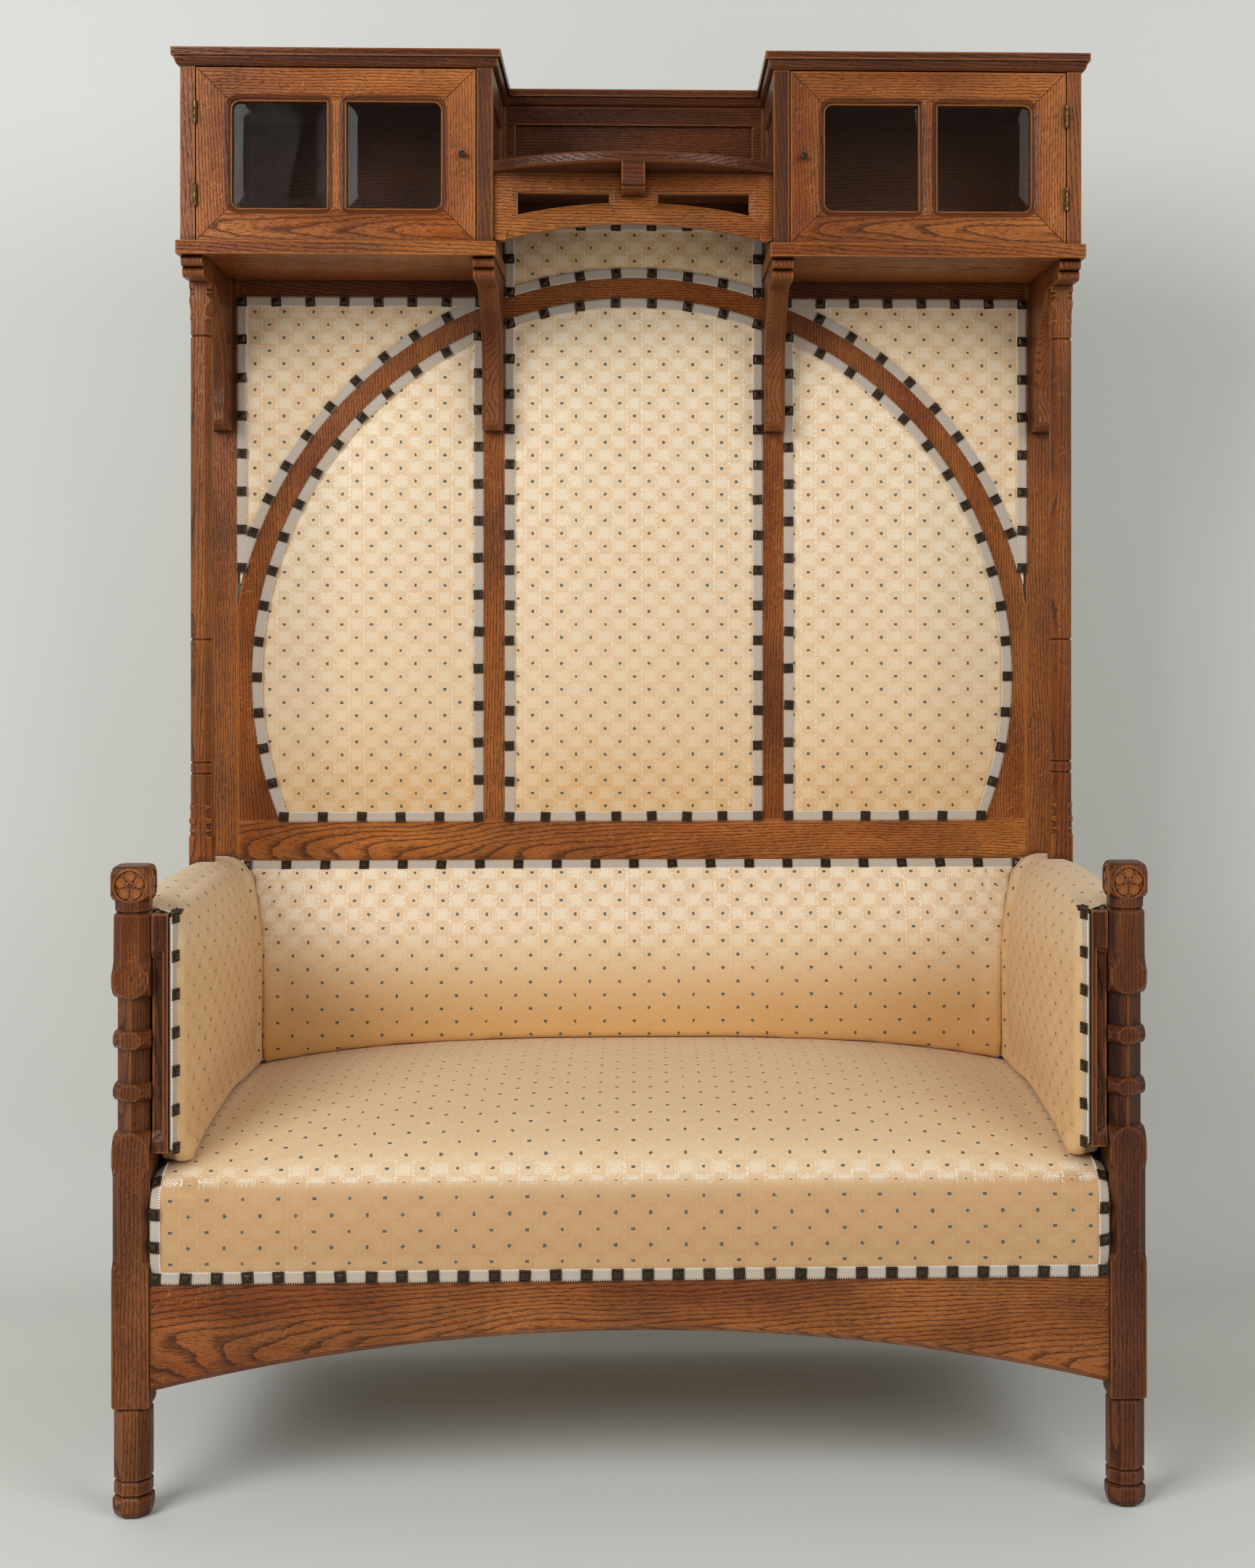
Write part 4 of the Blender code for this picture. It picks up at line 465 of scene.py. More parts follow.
def woven_damask(settings):
    """Faded jacquard damask: matt satin ground, brighter silky blocks and small grey-green dots.

    It reads the piece's own map, which measures the cloth in metres across and along, and the
    shares that each point was given: painted sheen of the woven pattern, wear with painted
    shade, and painted golden shade.
    """
    material, node, surface = new_material("woven_damask")
    cloth = node("ShaderNodeUVMap", uv_map="cloth")
    # The weave is drawn in steps of about five real threads, so that its stitches show
    thread = settings.thread
    weave = node(VECTOR, (cloth, (thread, thread, 1.0)), operation="SNAP")
    speckle = node("ShaderNodeTexWhiteNoise", {"Vector": weave}, noise_dimensions="3D")
    names = ("figure_sheen", "wear_and_shade", "golden_shade")
    figure_sheen, wear_and_shade, golden_shade = [node("ShaderNodeAttribute", out=2, attribute_name=name) for name in names]
    dots = rings = blocks = lines = 0.0
    for shift in ((0.0, 0.0), (0.5, 0.5)):
        away = node(VECTOR, (lattice(node, weave, settings, shift),), out=1, operation="LENGTH")
        dot = node(MATH, (away, settings.dot_radius + 0.0002), operation="LESS_THAN")
        dots = node(MATH, (dot, dots), operation="MAXIMUM")
        rim = node(MATH, (away, settings.halo_radius), operation="SUBTRACT")
        ring = node(RANGE, (node(MATH, (rim,), operation="ABSOLUTE"), 0.0006, 0.0013, 0.20, 0.0))
        rings = node(MATH, (ring, rings), operation="MAXIMUM")
    for shift in ((0.0, 0.5), (0.5, 0.0)):
        away = lattice(node, weave, settings, shift)
        size = (settings.block_width / 2, settings.block_height / 2, 1.0)
        shares = node(VECTOR, (away, size), operation="DIVIDE")
        sides = node("ShaderNodeSeparateXYZ", {0: shares}).node.outputs
        reach = node(MATH, (sides[0], sides[1]), operation="MAXIMUM")
        ragged = node(MATH, (speckle, 0.40, reach), operation="MULTIPLY_ADD")
        block = node(RANGE, (ragged, 1.08, 1.38, 1.0, 0.0))
        blocks = node(MATH, (block, blocks), operation="MAXIMUM")
        aside = node(MATH, (node(MATH, (sides[0], 1.22), operation="SUBTRACT"),), operation="ABSOLUTE")
        line = node(RANGE, (aside, 0.09, 0.14, 1.0, 0.0))
        lines = node(MATH, (line, lines), operation="MAXIMUM")
    # Twill zigzag in the blocks, and broken strokes of it beside them
    parts = node("ShaderNodeSeparateXYZ", {0: cloth}).node.outputs
    folded = node(MATH, (parts[0], 3 * thread), operation="PINGPONG")
    climb = node(MATH, (folded, parts[1]), operation="ADD")
    turns = node(MATH, (climb, math.tau / (2 * thread)), operation="MULTIPLY")
    wave = node(MATH, (turns,), operation="SINE")
    frayed = node(MATH, (speckle, 0.9, wave), operation="MULTIPLY_ADD")
    zigzag = node(RANGE, (frayed, 0.05, 0.65, 0.04, 1.0))
    broken = node(RANGE, (speckle, 0.45, 0.60, 0.0, 1.0))
    silk = node(MATH, (blocks, zigzag), operation="MULTIPLY")
    dashes = node(MATH, (lines, broken), operation="MULTIPLY")
    strokes = node(MATH, (dashes, rings), operation="MAXIMUM")
    cream = node(MATH, (silk, node(MATH, (strokes, 0.8), operation="MULTIPLY")), operation="MAXIMUM")
    # How much of the pattern shows, by its painted sheen
    shown = node(MATH, (cream, figure_sheen), operation="MULTIPLY")
    blotch = node(NOISE, {"Vector": cloth, "Scale": 7.0, "Detail": 4.0})
    soiled = node(RANGE, (blotch, 0.50, 0.78, 0.0, 0.30))
    # Painted golden shade, with the soiling blotches in the same colour
    warm = node(MATH, (golden_shade, node(MATH, (soiled, 0.6), operation="MULTIPLY")), operation="ADD")
    # The blocks' tone between their shaded copy and their painted lit copy
    sheen_lit_silk_tone = layered(node, settings.gold_block, ((figure_sheen, settings.block),))
    mottle = node(RANGE, (speckle, 0.0, 1.0, 0.0, 0.22))
    layers = (
        (wear_and_shade, settings.wear_and_shade),
        (warm, settings.golden_shade),
        (mottle, settings.wear_and_shade),
        (shown, sheen_lit_silk_tone),
        (node(MATH, (dots, 0.93), operation="MULTIPLY"), settings.dot),
    )
    tone = layered(node, settings.ground, layers)
    rows = node(MATH, (parts[1], math.tau / (2 * thread)), operation="MULTIPLY")
    rib = node(MATH, (rows,), operation="SINE")
    raised = node(MATH, (cream, dots), operation="MAXIMUM")
    relief = node(MATH, (rib, 0.2, raised), operation="MULTIPLY_ADD")
    normal = node("ShaderNodeBump", {"Height": relief, "Distance": 0.00022})
    fill(surface, {"Base Color": tone, "Normal": normal, "Sheen Weight": 0.18, "Sheen Roughness": 0.4})
    fill(surface, {"Roughness": node(RANGE, (shown, 0.0, 1.0, 0.60, 0.36)), "IOR": 1.50})
    return material


def ribbed_braid(settings):
    """Silver-beige furniture braid: slanting ribs of lustrous thread, cool here and warm there."""
    material, node, surface = new_material("ribbed_braid")
    names = ("along", "across")
    along, across = [node("ShaderNodeAttribute", out=2, attribute_name=name) for name in names]
    slant = node(MATH, (across, 0.8, along), operation="MULTIPLY_ADD")
    turns = node(MATH, (slant, math.tau / settings.rib_pitch), operation="MULTIPLY")
    rib = node(MATH, (turns,), operation="SINE")
    cast = node(RANGE, (node(NOISE, {"Vector": node(PLACE, out=3), "Scale": 30.0}), 0.38, 0.62))
    # Painted shade in the furrows between the ribs
    rib_furrow_shade = node(RANGE, (rib, -0.9, 0.3, 0.42, 0.0))
    loop = node(MATH, (across, settings.braid_width), operation="GREATER_THAN")
    layers = ((cast, settings.braid_cool), (rib_furrow_shade, settings.braid_shade), (loop, colour("F4EEE2")))
    tone = layered(node, settings.braid, layers)
    normal = node("ShaderNodeBump", {"Height": rib, "Distance": 0.00022})
    fill(surface, {"Base Color": tone, "Roughness": 0.42, "Sheen Weight": 0.12, "Normal": normal})
    return material


def oxidised_bronze(settings):
    """Cast bronze with a near-black skin, rubbed brown at its raised edges."""
    material, node, surface = new_material("oxidised_bronze")
    mottled = node(NOISE, {"Vector": node(PLACE, out=3), "Scale": 320.0})
    near_edge = {"Distance": 0.0012}
    edge = node("ShaderNodeAmbientOcclusion", near_edge, out=1, samples=4, inside=True, only_local=True)
    layers = (
        (node(RANGE, (mottled, 0.4, 0.7, 0.0, 0.5)), colour("241C15")),
        (node(RANGE, (edge, 0.45, 0.95, 0.6, 0.0)), colour("8C735A")),
    )
    fill(surface, {"Base Color": layered(node, settings.bronze, layers), "Metallic": 0.75})
    fill(surface, {"Roughness": node(RANGE, (mottled, 0.3, 0.7, 0.26, 0.42))})
    return material


def aged_brass(settings):
    """Old lacquered brass: dull yellow-brown, darker in patches."""
    material, node, surface = new_material("aged_brass")
    stain = node(NOISE, {"Vector": node(PLACE, out=3), "Scale": 180.0, "Detail": 3.0})
    layers = ((node(RANGE, (stain, 0.4, 0.65)), colour("3A2C18")),)
    fill(surface, {"Base Color": layered(node, settings.brass, layers), "Metallic": 1.0})
    fill(surface, {"Roughness": node(RANGE, (stain, 0.3, 0.7, 0.34, 0.5))})
    return material


def plate_glass():
    """Bevelled plate glass: clear, thin to the light, with a faint green body and light smears."""
    material, node, surface = new_material("plate_glass")
    smear = node(NOISE, {"Vector": node(PLACE, out=3), "Scale": 14.0})
    values = {"Base Color": colour("EEF4F2"), "Transmission Weight": 1.0, "IOR": 1.52, "Alpha": 0.25}
    fill(surface, {**values, "Roughness": node(RANGE, (smear, 0.4, 0.7, 0.0, 0.03))})
    return material


def jute_webbing():
    """Plain woven jute: coarse over-and-under bands of dull straw brown."""
    material, node, surface = new_material("jute_webbing")
    yarn_pitch = 0.004
    scaled = node(VECTOR, (node(PLACE, out=3), (math.tau / yarn_pitch,) * 3), operation="MULTIPLY")
    waves = node("ShaderNodeSeparateXYZ", {0: node(VECTOR, (scaled,), operation="SINE")}).node.outputs
    weave = node(MATH, (waves[0], waves[1]), operation="MULTIPLY")
    layers = ((node(RANGE, (weave, -0.6, 0.6)), colour("B79B6C")),)
    tone = layered(node, colour("8B7148"), layers)
    normal = node("ShaderNodeBump", {"Height": weave, "Distance": 0.0006})
    fill(surface, {"Base Color": tone, "Roughness": 0.9, "Normal": normal})
    return material


def painted_backdrop():
    """A plain matt studio floor and wall of pale grey paint, clear when it is seen from behind."""
    material, node, surface = new_material("painted_backdrop")
    cloudy = node(NOISE, {"Vector": node(PLACE, out=3), "Scale": 1.5})
    tone = layered(node, colour("DCDEDA"), ((cloudy, colour("E2E4E0")),))
    behind = node("ShaderNodeNewGeometry", out="Backfacing")
    shown = node(MATH, (1.0, behind), operation="SUBTRACT")
    fill(surface, {"Base Color": tone, "Roughness": 0.85, "Alpha": shown})
    return material


def paint(mesh, material):
    mesh.materials.clear()
    mesh.materials.append(material)


def dress(node_name, material):
    """Gives a node of the model this material."""
    paint(frame["nodes"][node_name].data, material)


def add_object(name, data):
    """An object for a mesh, a lamp or a camera, in the scene."""
    item = bpy.data.objects.new(name, data)
    bpy.context.scene.collection.objects.link(item)
    return item


def add_mesh(name, bm):
    """Turns a finished bmesh into an object."""
    mesh = bpy.data.meshes.new(name)
    bm.to_mesh(mesh)
    bm.free()
    return add_object(name, mesh)


def merged_copy(node_name, piece_name):
    """A welded copy of a node's mesh."""
    bm = bmesh.new()
    bm.from_mesh(frame["nodes"][node_name].data)
    bmesh.ops.remove_doubles(bm, verts=bm.verts, dist=0.00002)
    return add_mesh(piece_name, bm)


def bake_modifiers(piece):
    """Turns the evaluated piece into a plain mesh without modifiers."""
    graph = bpy.context.evaluated_depsgraph_get()
    graph.update()
    mesh = bpy.data.meshes.new_from_object(piece.evaluated_get(graph))
    old = piece.data
    piece.modifiers.clear()
    piece.data = mesh
    bpy.data.meshes.remove(old)


def surface_of(piece):
    bm = bmesh.new()
    bm.from_mesh(piece.data)
    tree = BVHTree.FromBMesh(bm)
    bm.free()
    return tree


def cut_away(piece, cutter):
    """Cuts a closed shape out of a piece and deletes the cutter."""
    boolean = piece.modifiers.new("Cut", "BOOLEAN")
    boolean.operation = "DIFFERENCE"
    boolean.solver = "EXACT"
    boolean.object = cutter
    bake_modifiers(piece)
    bpy.data.objects.remove(cutter, do_unlink=True)


# How round the heads of the posts are: the radius of the ball around them, in half widths
HEAD_ROUNDNESS = 1.46
# Faces of a post that meet more sharply than this keep a crisp edge
CRISP_TURN = math.radians(13)
# The carver's steps around a rosette
ROSETTE_STEPS = 60
# Shares of a rosette's radius at which its relief is measured, closest where it is steep
ROSETTE_RINGS = (
    *(0.10, 0.20, 0.27, 0.31, 0.33, 0.38, 0.46, 0.54),
    *(0.62, 0.70, 0.78, 0.86, 0.91, 0.95, 0.97, 1.01),
)


def rosette_height(radius, angle, width):
    """Relief of a five-petalled flower in a ring, in shares of its depth."""
    share = 2 * radius / width
    if share < 0.32:
        return 0.60 + 0.40 * math.sqrt(1 - (share / 0.32) ** 2)
    petal = abs((angle - math.pi / 2) % (math.tau / 5) - math.pi / 5)
    petal = math.pi / 5 - petal
    away = math.hypot(share * math.cos(petal) - 0.62, 0.92 * share * math.sin(petal))
    leaf = 0.70 * ramp(0.37 - away, 0.0, 0.05) - 0.25 * ramp(0.28 - away, 0.0, 0.25)
    rim = 0.80 * ramp(share, 0.96, 0.98)
    return max(0.15 + leaf, rim)


def rosette_disc(width, depth):
    """A round height-field that faces +Z, with its back edge turned down into the wood."""
    bm = bmesh.new()
    rings = []
    for share in ROSETTE_RINGS:
        radius = share * width / 2
        ring = []
        for i in range(ROSETTE_STEPS):
            angle = math.tau * i / ROSETTE_STEPS
            lift = depth * rosette_height(radius, angle, width) if share < 1 else -depth / 4
            ring.append(bm.verts.new((radius * math.cos(angle), radius * math.sin(angle), lift)))
        rings.append(ring)
    middle = bm.verts.new((0, 0, depth))
    for i in range(ROSETTE_STEPS):
        j = (i + 1) % ROSETTE_STEPS
        bm.faces.new((middle, rings[0][i], rings[0][j]))
        for inner, outer in zip(rings, rings[1:]):
            bm.faces.new((inner[i], outer[i], outer[j], inner[j]))
    return bm


def post_head(name, centre, half):
    """What is cut from the top of a post: all that lies outside a ball around its rosettes."""
    bm = bmesh.new()
    size = 4 * half
    block = Matrix.Translation(centre + Vector((0, 0, size / 2)))
    bmesh.ops.create_cube(bm, size=1, matrix=block @ Matrix.Scale(size, 4))
    cutter = add_mesh(name + "_block", bm)
    bm = bmesh.new()
    ball = Matrix.Translation(centre)
    radius = HEAD_ROUNDNESS * half
    bmesh.ops.create_uvsphere(bm, u_segments=64, v_segments=32, radius=radius, matrix=ball)
    cut_away(cutter, add_mesh(name + "_ball", bm))
    return cutter


class SETTLE_OT_stage(bpy.types.Operator):
    """Adds the floor, the backdrop, the lamps and the camera at the photograph's angle"""

    bl_idname = "settle.stage"
    bl_label = "Stage"

    def execute(self, context):
        self.floor()
        self.lamps(context)
        self.camera(context)
        context.scene.view_settings.view_transform = "Standard"
        return {"FINISHED"}

    def floor(self):
        bm = bmesh.new()
        round_foot = WALL_Y - SWEEP_RADIUS
        profile = [(SWEEP_FRONT, 0.0), (round_foot, 0.0)]
        for i in range(1, 9):
            turn = math.radians(90 * i / 8)
            height = SWEEP_RADIUS * (1 - math.cos(turn))
            profile.append((round_foot + SWEEP_RADIUS * math.sin(turn), height))
        profile.append((WALL_Y, WALL_TOP))
        left = [bm.verts.new((-SWEEP_HALF_WIDTH, y, z)) for y, z in profile]
        right = [bm.verts.new((SWEEP_HALF_WIDTH, y, z)) for y, z in profile]
        for i in range(len(profile) - 1):
            bm.faces.new((left[i], right[i], right[i + 1], left[i + 1]))
        backdrop = add_mesh("backdrop", bm)
        backdrop.data.shade_smooth()
        paint(backdrop.data, painted_backdrop())

    def lamps(self, context):
        world = bpy.data.worlds.new("studio")
        world.use_nodes = True
        background = world.node_tree.nodes["Background"]
        fill(background, {"Color": colour("F4F4F2"), "Strength": WORLD_STRENGTH})
        context.scene.world = world
        for name, place, size, power in LAMPS:
            lamp = bpy.data.lights.new(name, "AREA")
            lamp.size = size
            lamp.energy = power
            holder = add_object(name, lamp)
            holder.location = place
            direction = LIT_POINT - Vector(place)
            holder.rotation_euler = direction.to_track_quat("-Z", "Y").to_euler()

    def camera(self, context):
        settings = context.scene.settle_camera
        camera = bpy.data.cameras.new("camera")
        camera.sensor_width = SENSOR_MM
        camera.lens = SENSOR_MM * settings.focal_pixels / PHOTO_HEIGHT
        camera.shift_x = (PHOTO_WIDTH / 2 - settings.sight_pixels[0]) / PHOTO_HEIGHT
        camera.shift_y = (settings.sight_pixels[1] - PHOTO_HEIGHT / 2) / PHOTO_HEIGHT
        holder = add_object("camera", camera)
        holder.location = settings.place
        holder.rotation_euler = (math.radians(90), 0, settings.turn)
        context.scene.camera = holder


class SETTLE_OT_oak(bpy.types.Operator):
    """Dresses the wooden pieces of the model in stained oak"""

    bl_idname = "settle.oak"
    bl_label = "Oak pieces"

    def execute(self, context):
        settings = context.scene.settle_oak
        seed = 0.0
        for direction, stain, heart, lean, names in BOARDS:
            for name in names:
                seed += SEED_STEP
                dress(name, stained_oak(name, direction, seed, stain, (*heart, lean), settings))
        return {"FINISHED"}


class SETTLE_OT_posts(bpy.types.Operator):
    """Carves the rosettes and the rounded heads of the front posts"""

    bl_idname = "settle.posts"
    bl_label = "Front posts"

    def execute(self, context):
        settings = context.scene.settle_oak
        for side, word in SIDES:
            stain = POST_STAIN + POST_SIDE_SHADE * side
            wood = stained_oak("front_post_" + word, "z", side, stain, (0.05, 0.05, 0.03), settings)
            self.carve(side, word, wood, settings)
        return {"FINISHED"}

    def carve(self, side, word, wood, settings):
        node_name = "front_post_" + word
        post = merged_copy(node_name, "carved_post_" + word)
        low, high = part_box(node_name)
        half = (high.x - low.x) / 2
        centre = Vector(((low.x + high.x) / 2, (low.y + high.y) / 2, high.z - half))
        cut_away(post, post_head("head_" + word, centre, half))
        faces = [Vector(direction) for direction in ((0, -1, 0), (side, 0, 0), (-side, 0, 0))]
        depth = settings.rosette_depth

        def on_face(outwards, distance):
            turn = outwards.to_track_quat("Z", "Y").to_matrix().to_4x4()
            return Matrix.Translation(centre + outwards * distance) @ turn

        for outwards in faces:
            face = on_face(outwards, half)
            bm = bmesh.new()
            radius = settings.rosette_width / 2
            sides = {"segments": ROSETTE_STEPS, "radius1": radius, "radius2": radius}
            bmesh.ops.create_cone(bm, cap_ends=True, matrix=face, depth=2 * depth, **sides)
            cut_away(post, add_mesh("circle", bm))
        bm = bmesh.new()
        bm.from_mesh(post.data)
        for outwards in faces:
            disc = rosette_disc(settings.rosette_width, depth * 0.95)
            bmesh.ops.transform(disc, matrix=on_face(outwards, half - depth), verts=disc.verts)
            carving = bpy.data.meshes.new("carving")
            disc.to_mesh(carving)
            disc.free()
            bm.from_mesh(carving)
            bpy.data.meshes.remove(carving)
        bm.to_mesh(post.data)
        bm.free()
        paint(post.data, wood)
        post.data.shade_smooth()
        post.data.set_sharp_from_angle(angle=CRISP_TURN)
        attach(post, SETTLE)
        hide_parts(node_name)


class SETTLE_OT_doors(bpy.types.Operator):
    """Dresses the doors, their glass, knobs and hinges"""

    bl_idname = "settle.doors"
    bl_label = "Doors"

    def execute(self, context):
        oak = context.scene.settle_oak
        trim = context.scene.settle_trim
        glass = plate_glass()
        bronze = oxidised_bronze(trim)
        brass = aged_brass(trim)
        for side, word in SIDES:
            dress("door_frame_" + word, mitred_oak(side, word, oak))
            dress("door_glass_inner_" + word, glass)
            dress("door_glass_outer_" + word, glass)
            dress("door_knob_" + word, bronze)
            for level in ("lower", "upper"):
                dress(f"hinge_frame_leaf_{level}_{word}", brass)
                dress(f"hinge_door_leaf_{level}_{word}", brass)
        return {"FINISHED"}


# Padded pieces: how full they are, the size of their simulated cells, and how far they swell
PADS = {
    "seat_cushion": (0.85, 0.0095, 0.007),
    "lower_back_cushion": (0.8, 0.0085, 0.007),
    "arm_pad_left": (0.8, 0.0080, 0.012),
    "arm_pad_right": (0.8, 0.0080, 0.012),
    "back_panel_center": (0.6, 0.0070, 0.006),
    "back_panel_upper": (0.6, 0.0065, 0.005),
    "back_panel_left": (0.6, 0.0070, 0.006),
    "back_panel_right": (0.6, 0.0070, 0.006),
    "corner_panel_left": (0.6, 0.0065, 0.005),
    "corner_panel_right": (0.6, 0.0065, 0.005),
}
SWELL_FRAMES = 20
# The pressure in the pads, and how far they are drawn in before, in shares of their swelling
CLOTH_PRESSURE = 4.0
DRAWN_IN = 0.7
# How far the arm pads' inner faces are stuffed out beyond their solids
ARM_STUFFING = 0.006
# How far the ends of the lower back are stuffed towards the arms
END_STUFFING = 0.0056


# Where a pad is held, by an axis (X from the middle) and two places on it: the cloth is free up to
# the first and held from the second, under the braid and where it rests on another piece
HOLDS = {
    "seat_cushion": (("x", 0.570, 0.606), ("y", 0.215, 0.255), ("z", 0.365, 0.340)),
    "lower_back_cushion": (
        ("x", 0.560, 0.600),
        ("y", 0.290, 0.310),
        ("z", 0.795, 0.812),
        ("z", 0.575, 0.545),
    ),
    "arm_pad": (
        ("x", 0.650, 0.664),
        ("y", 0.238, 0.252),
        ("y", -0.300, -0.322),
        ("z", 0.530, 0.500),
    ),
    "back_panel": (("y", 0.3175, 0.3225),),
    "corner_panel": (("y", 0.3175, 0.3225),),
}


def held_share(node_name, point):
    """How firmly a pad is held at a point, from 0 to 1."""
    places = {"x": abs(point.x), "y": point.y, "z": point.z}
    edges = next(rows for start, rows in HOLDS.items() if node_name.startswith(start))
    return max(ramp(places[axis], free, held) for axis, free, held in edges)


def arm_fullness(point):
    """How much further than its solid the inner face of an arm pad is stuffed, from 0 to 1."""
    inner = 1 - ramp(abs(point.x), 0.622, 0.650)
    along = ramp(point.y, -0.330, -0.120) * (1 - ramp(point.y, 0.160, 0.252))
    up = ramp(point.z, 0.500, 0.600) * (1 - ramp(point.z, 0.740, 0.830))
    return inner * along * up


def start_pad(node_name):
    """A welded copy of even cells, drawn in a little where it is free to swell."""
    _, cell, swell = PADS[node_name]
    piece = merged_copy(node_name, "padded_" + node_name)
    skin = surface_of(piece)
    remesh = piece.modifiers.new("Remesh", "REMESH")
    remesh.mode = "VOXEL"
    remesh.voxel_size = cell
    bake_modifiers(piece)
    group = piece.vertex_groups.new(name="held")
    for vertex in piece.data.vertices:
        held = held_share(node_name, vertex.co)
        group.add([vertex.index], held, "REPLACE")
        if held > 0.5:
            vertex.co = skin.find_nearest(vertex.co)[0]
    if node_name.startswith("arm_pad"):
        for vertex in piece.data.vertices:
            vertex.co.x -= math.copysign(ARM_STUFFING * arm_fullness(vertex.co), vertex.co.x)
    if node_name == "lower_back_cushion":
        for vertex in piece.data.vertices:
            reach = ramp(abs(vertex.co.x), 0.572, 0.598)
            vertex.co.x += math.copysign(END_STUFFING * reach, vertex.co.x)
    moves = []
    for vertex in piece.data.vertices:
        free = 1 - held_share(node_name, vertex.co)
        moves.append(vertex.normal * (-DRAWN_IN * swell * free))
    for vertex, move in zip(piece.data.vertices, moves):
        vertex.co += move
    return piece


def swell_pads(pieces):
    """Blows all pads up a little together, as springs and hair do under tight cloth."""
    scene = bpy.context.scene
    starts = {}
    for piece in pieces:
        starts[piece.name] = [vertex.co.copy() for vertex in piece.data.vertices]
        cloth = piece.modifiers.new("Cloth", "CLOTH")
        cloth.settings.quality = 4
        cloth.settings.use_pressure = True
        cloth.settings.uniform_pressure_force = CLOTH_PRESSURE
        cloth.settings.vertex_group_mass = "held"
        cloth.settings.effector_weights.gravity = 0.0
        cloth.point_cache.frame_start = 1
        cloth.point_cache.frame_end = SWELL_FRAMES
    for number in range(1, SWELL_FRAMES + 1):
        scene.frame_set(number)
    for piece in pieces:
        bake_modifiers(piece)
        most = PADS[piece.name.removeprefix("padded_")][2]
        for vertex, start in zip(piece.data.vertices, starts[piece.name]):
            move = vertex.co - start
            if move.length > 0:
                vertex.co = start + move.normalized() * most * math.tanh(move.length / most)
    scene.frame_set(1)


def finish_pad(piece, node_name, material):
    """Smooths the cloth, gives it its map and shares, and puts it in place of its solid."""
    smooth = piece.modifiers.new("Smooth", "SMOOTH")
    smooth.factor = 0.5
    smooth.iterations = 3
    finer = piece.modifiers.new("Subdivision", "SUBSURF")
    finer.levels = 1
    finer.render_levels = 1
    bake_modifiers(piece)
    map_cloth(piece, node_name)
    piece.vertex_groups.clear()
    paint(piece.data, material)
    piece.data.shade_smooth()
    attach(piece, SETTLE)
    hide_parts(node_name)


# The seat's upper front edge, by depth and height, and the cloth's length up to there on the
# front and from there on the top, which differ by the round between them
SEAT_EDGE_Y = -0.333
SEAT_EDGE_Z = 0.456
SEAT_FRONT_LENGTH = 0.450
SEAT_TOP_START = 0.461
# The height at which the seat's cloth turns down behind
SEAT_REAR_Z = 0.540
# The inner edge and the height of the arms' flat tops
ARM_EDGE_X = 0.632
ARM_TOP_Z = 0.832
# The cloth is drawn forwards around the arms' stuffing, so fewer dots show along an arm
ARM_DRAW = 0.8


def cloth_place(node_name, point):
    """Where a point lies on the cloth, in metres across and along it."""
    if node_name == "seat_cushion":
        if point.z < SEAT_EDGE_Z and point.y < SEAT_EDGE_Y:
            return point.x, min(point.z, SEAT_FRONT_LENGTH)
        over = math.hypot(max(point.y - SEAT_EDGE_Y, 0), max(point.z - SEAT_EDGE_Z, 0))
        down_behind = ramp(point.y, 0.290, 0.315) * max(SEAT_REAR_Z - point.z, 0)
        return point.x, SEAT_TOP_START + over + down_behind
    if node_name.startswith("arm_pad"):
        over = max(abs(point.x) - ARM_EDGE_X, 0)
        return ARM_DRAW * point.y, min(point.z, ARM_TOP_Z) + over
    if node_name == "lower_back_cushion":
        around = ramp(abs(point.x), 0.580, 0.602) * max(point.y - 0.260, 0)
        return point.x + math.copysign(around, point.x), point.z
    return point.x, point.z


def cloth_shares(node_name, point):
    """Shares of painted sheen of the pattern, of wear with painted shade, and of painted golden shade
    at a point.
    """
    if node_name == "seat_cushion":
        # The seat's pattern shows faintly, a little more on its front, and brightly in a painted
        # highlight along its rounded front edge
        on_front = 1 - ramp(point.y, -0.345, -0.325)
        edge = ramp(point.z, 0.450, 0.457) * (1 - ramp(point.y, -0.325, -0.290))
        return 0.12 + 0.08 * on_front + 0.75 * edge, 0.85 * on_front, 0.05
    if node_name == "lower_back_cushion":
        # Lower back: painted sheen towards the top, painted golden shade towards the foot
        return 0.15 + 0.80 * ramp(point.z, 0.60, 0.74), 0.0, 0.85 * (1 - ramp(point.z, 0.52, 0.74))
    if node_name.startswith("arm_pad"):
        # Arms: painted golden shade low on their faces
        return 0.38, 0.05, 0.60 * (1 - ramp(point.z, 0.72, 0.84))
    if node_name == "back_panel_upper":
        # Upper panel: strong painted sheen, with painted golden shade under the cabinets
        return 0.8, 0.0, 0.45
    if node_name.startswith("corner"):
        # Corners: strong painted sheen and a little painted golden shade
        return 0.85, 0.0, 0.15
    # Back panels: painted sheen grows where they are lit high up; wear with painted shade and painted
    # golden shade lie low down
    lit = ramp(point.z, 0.94, 1.5)
    return 0.62 + 0.30 * lit, 0.12 * (1 - lit), 0.50 * (1 - ramp(point.z, 0.92, 1.10))


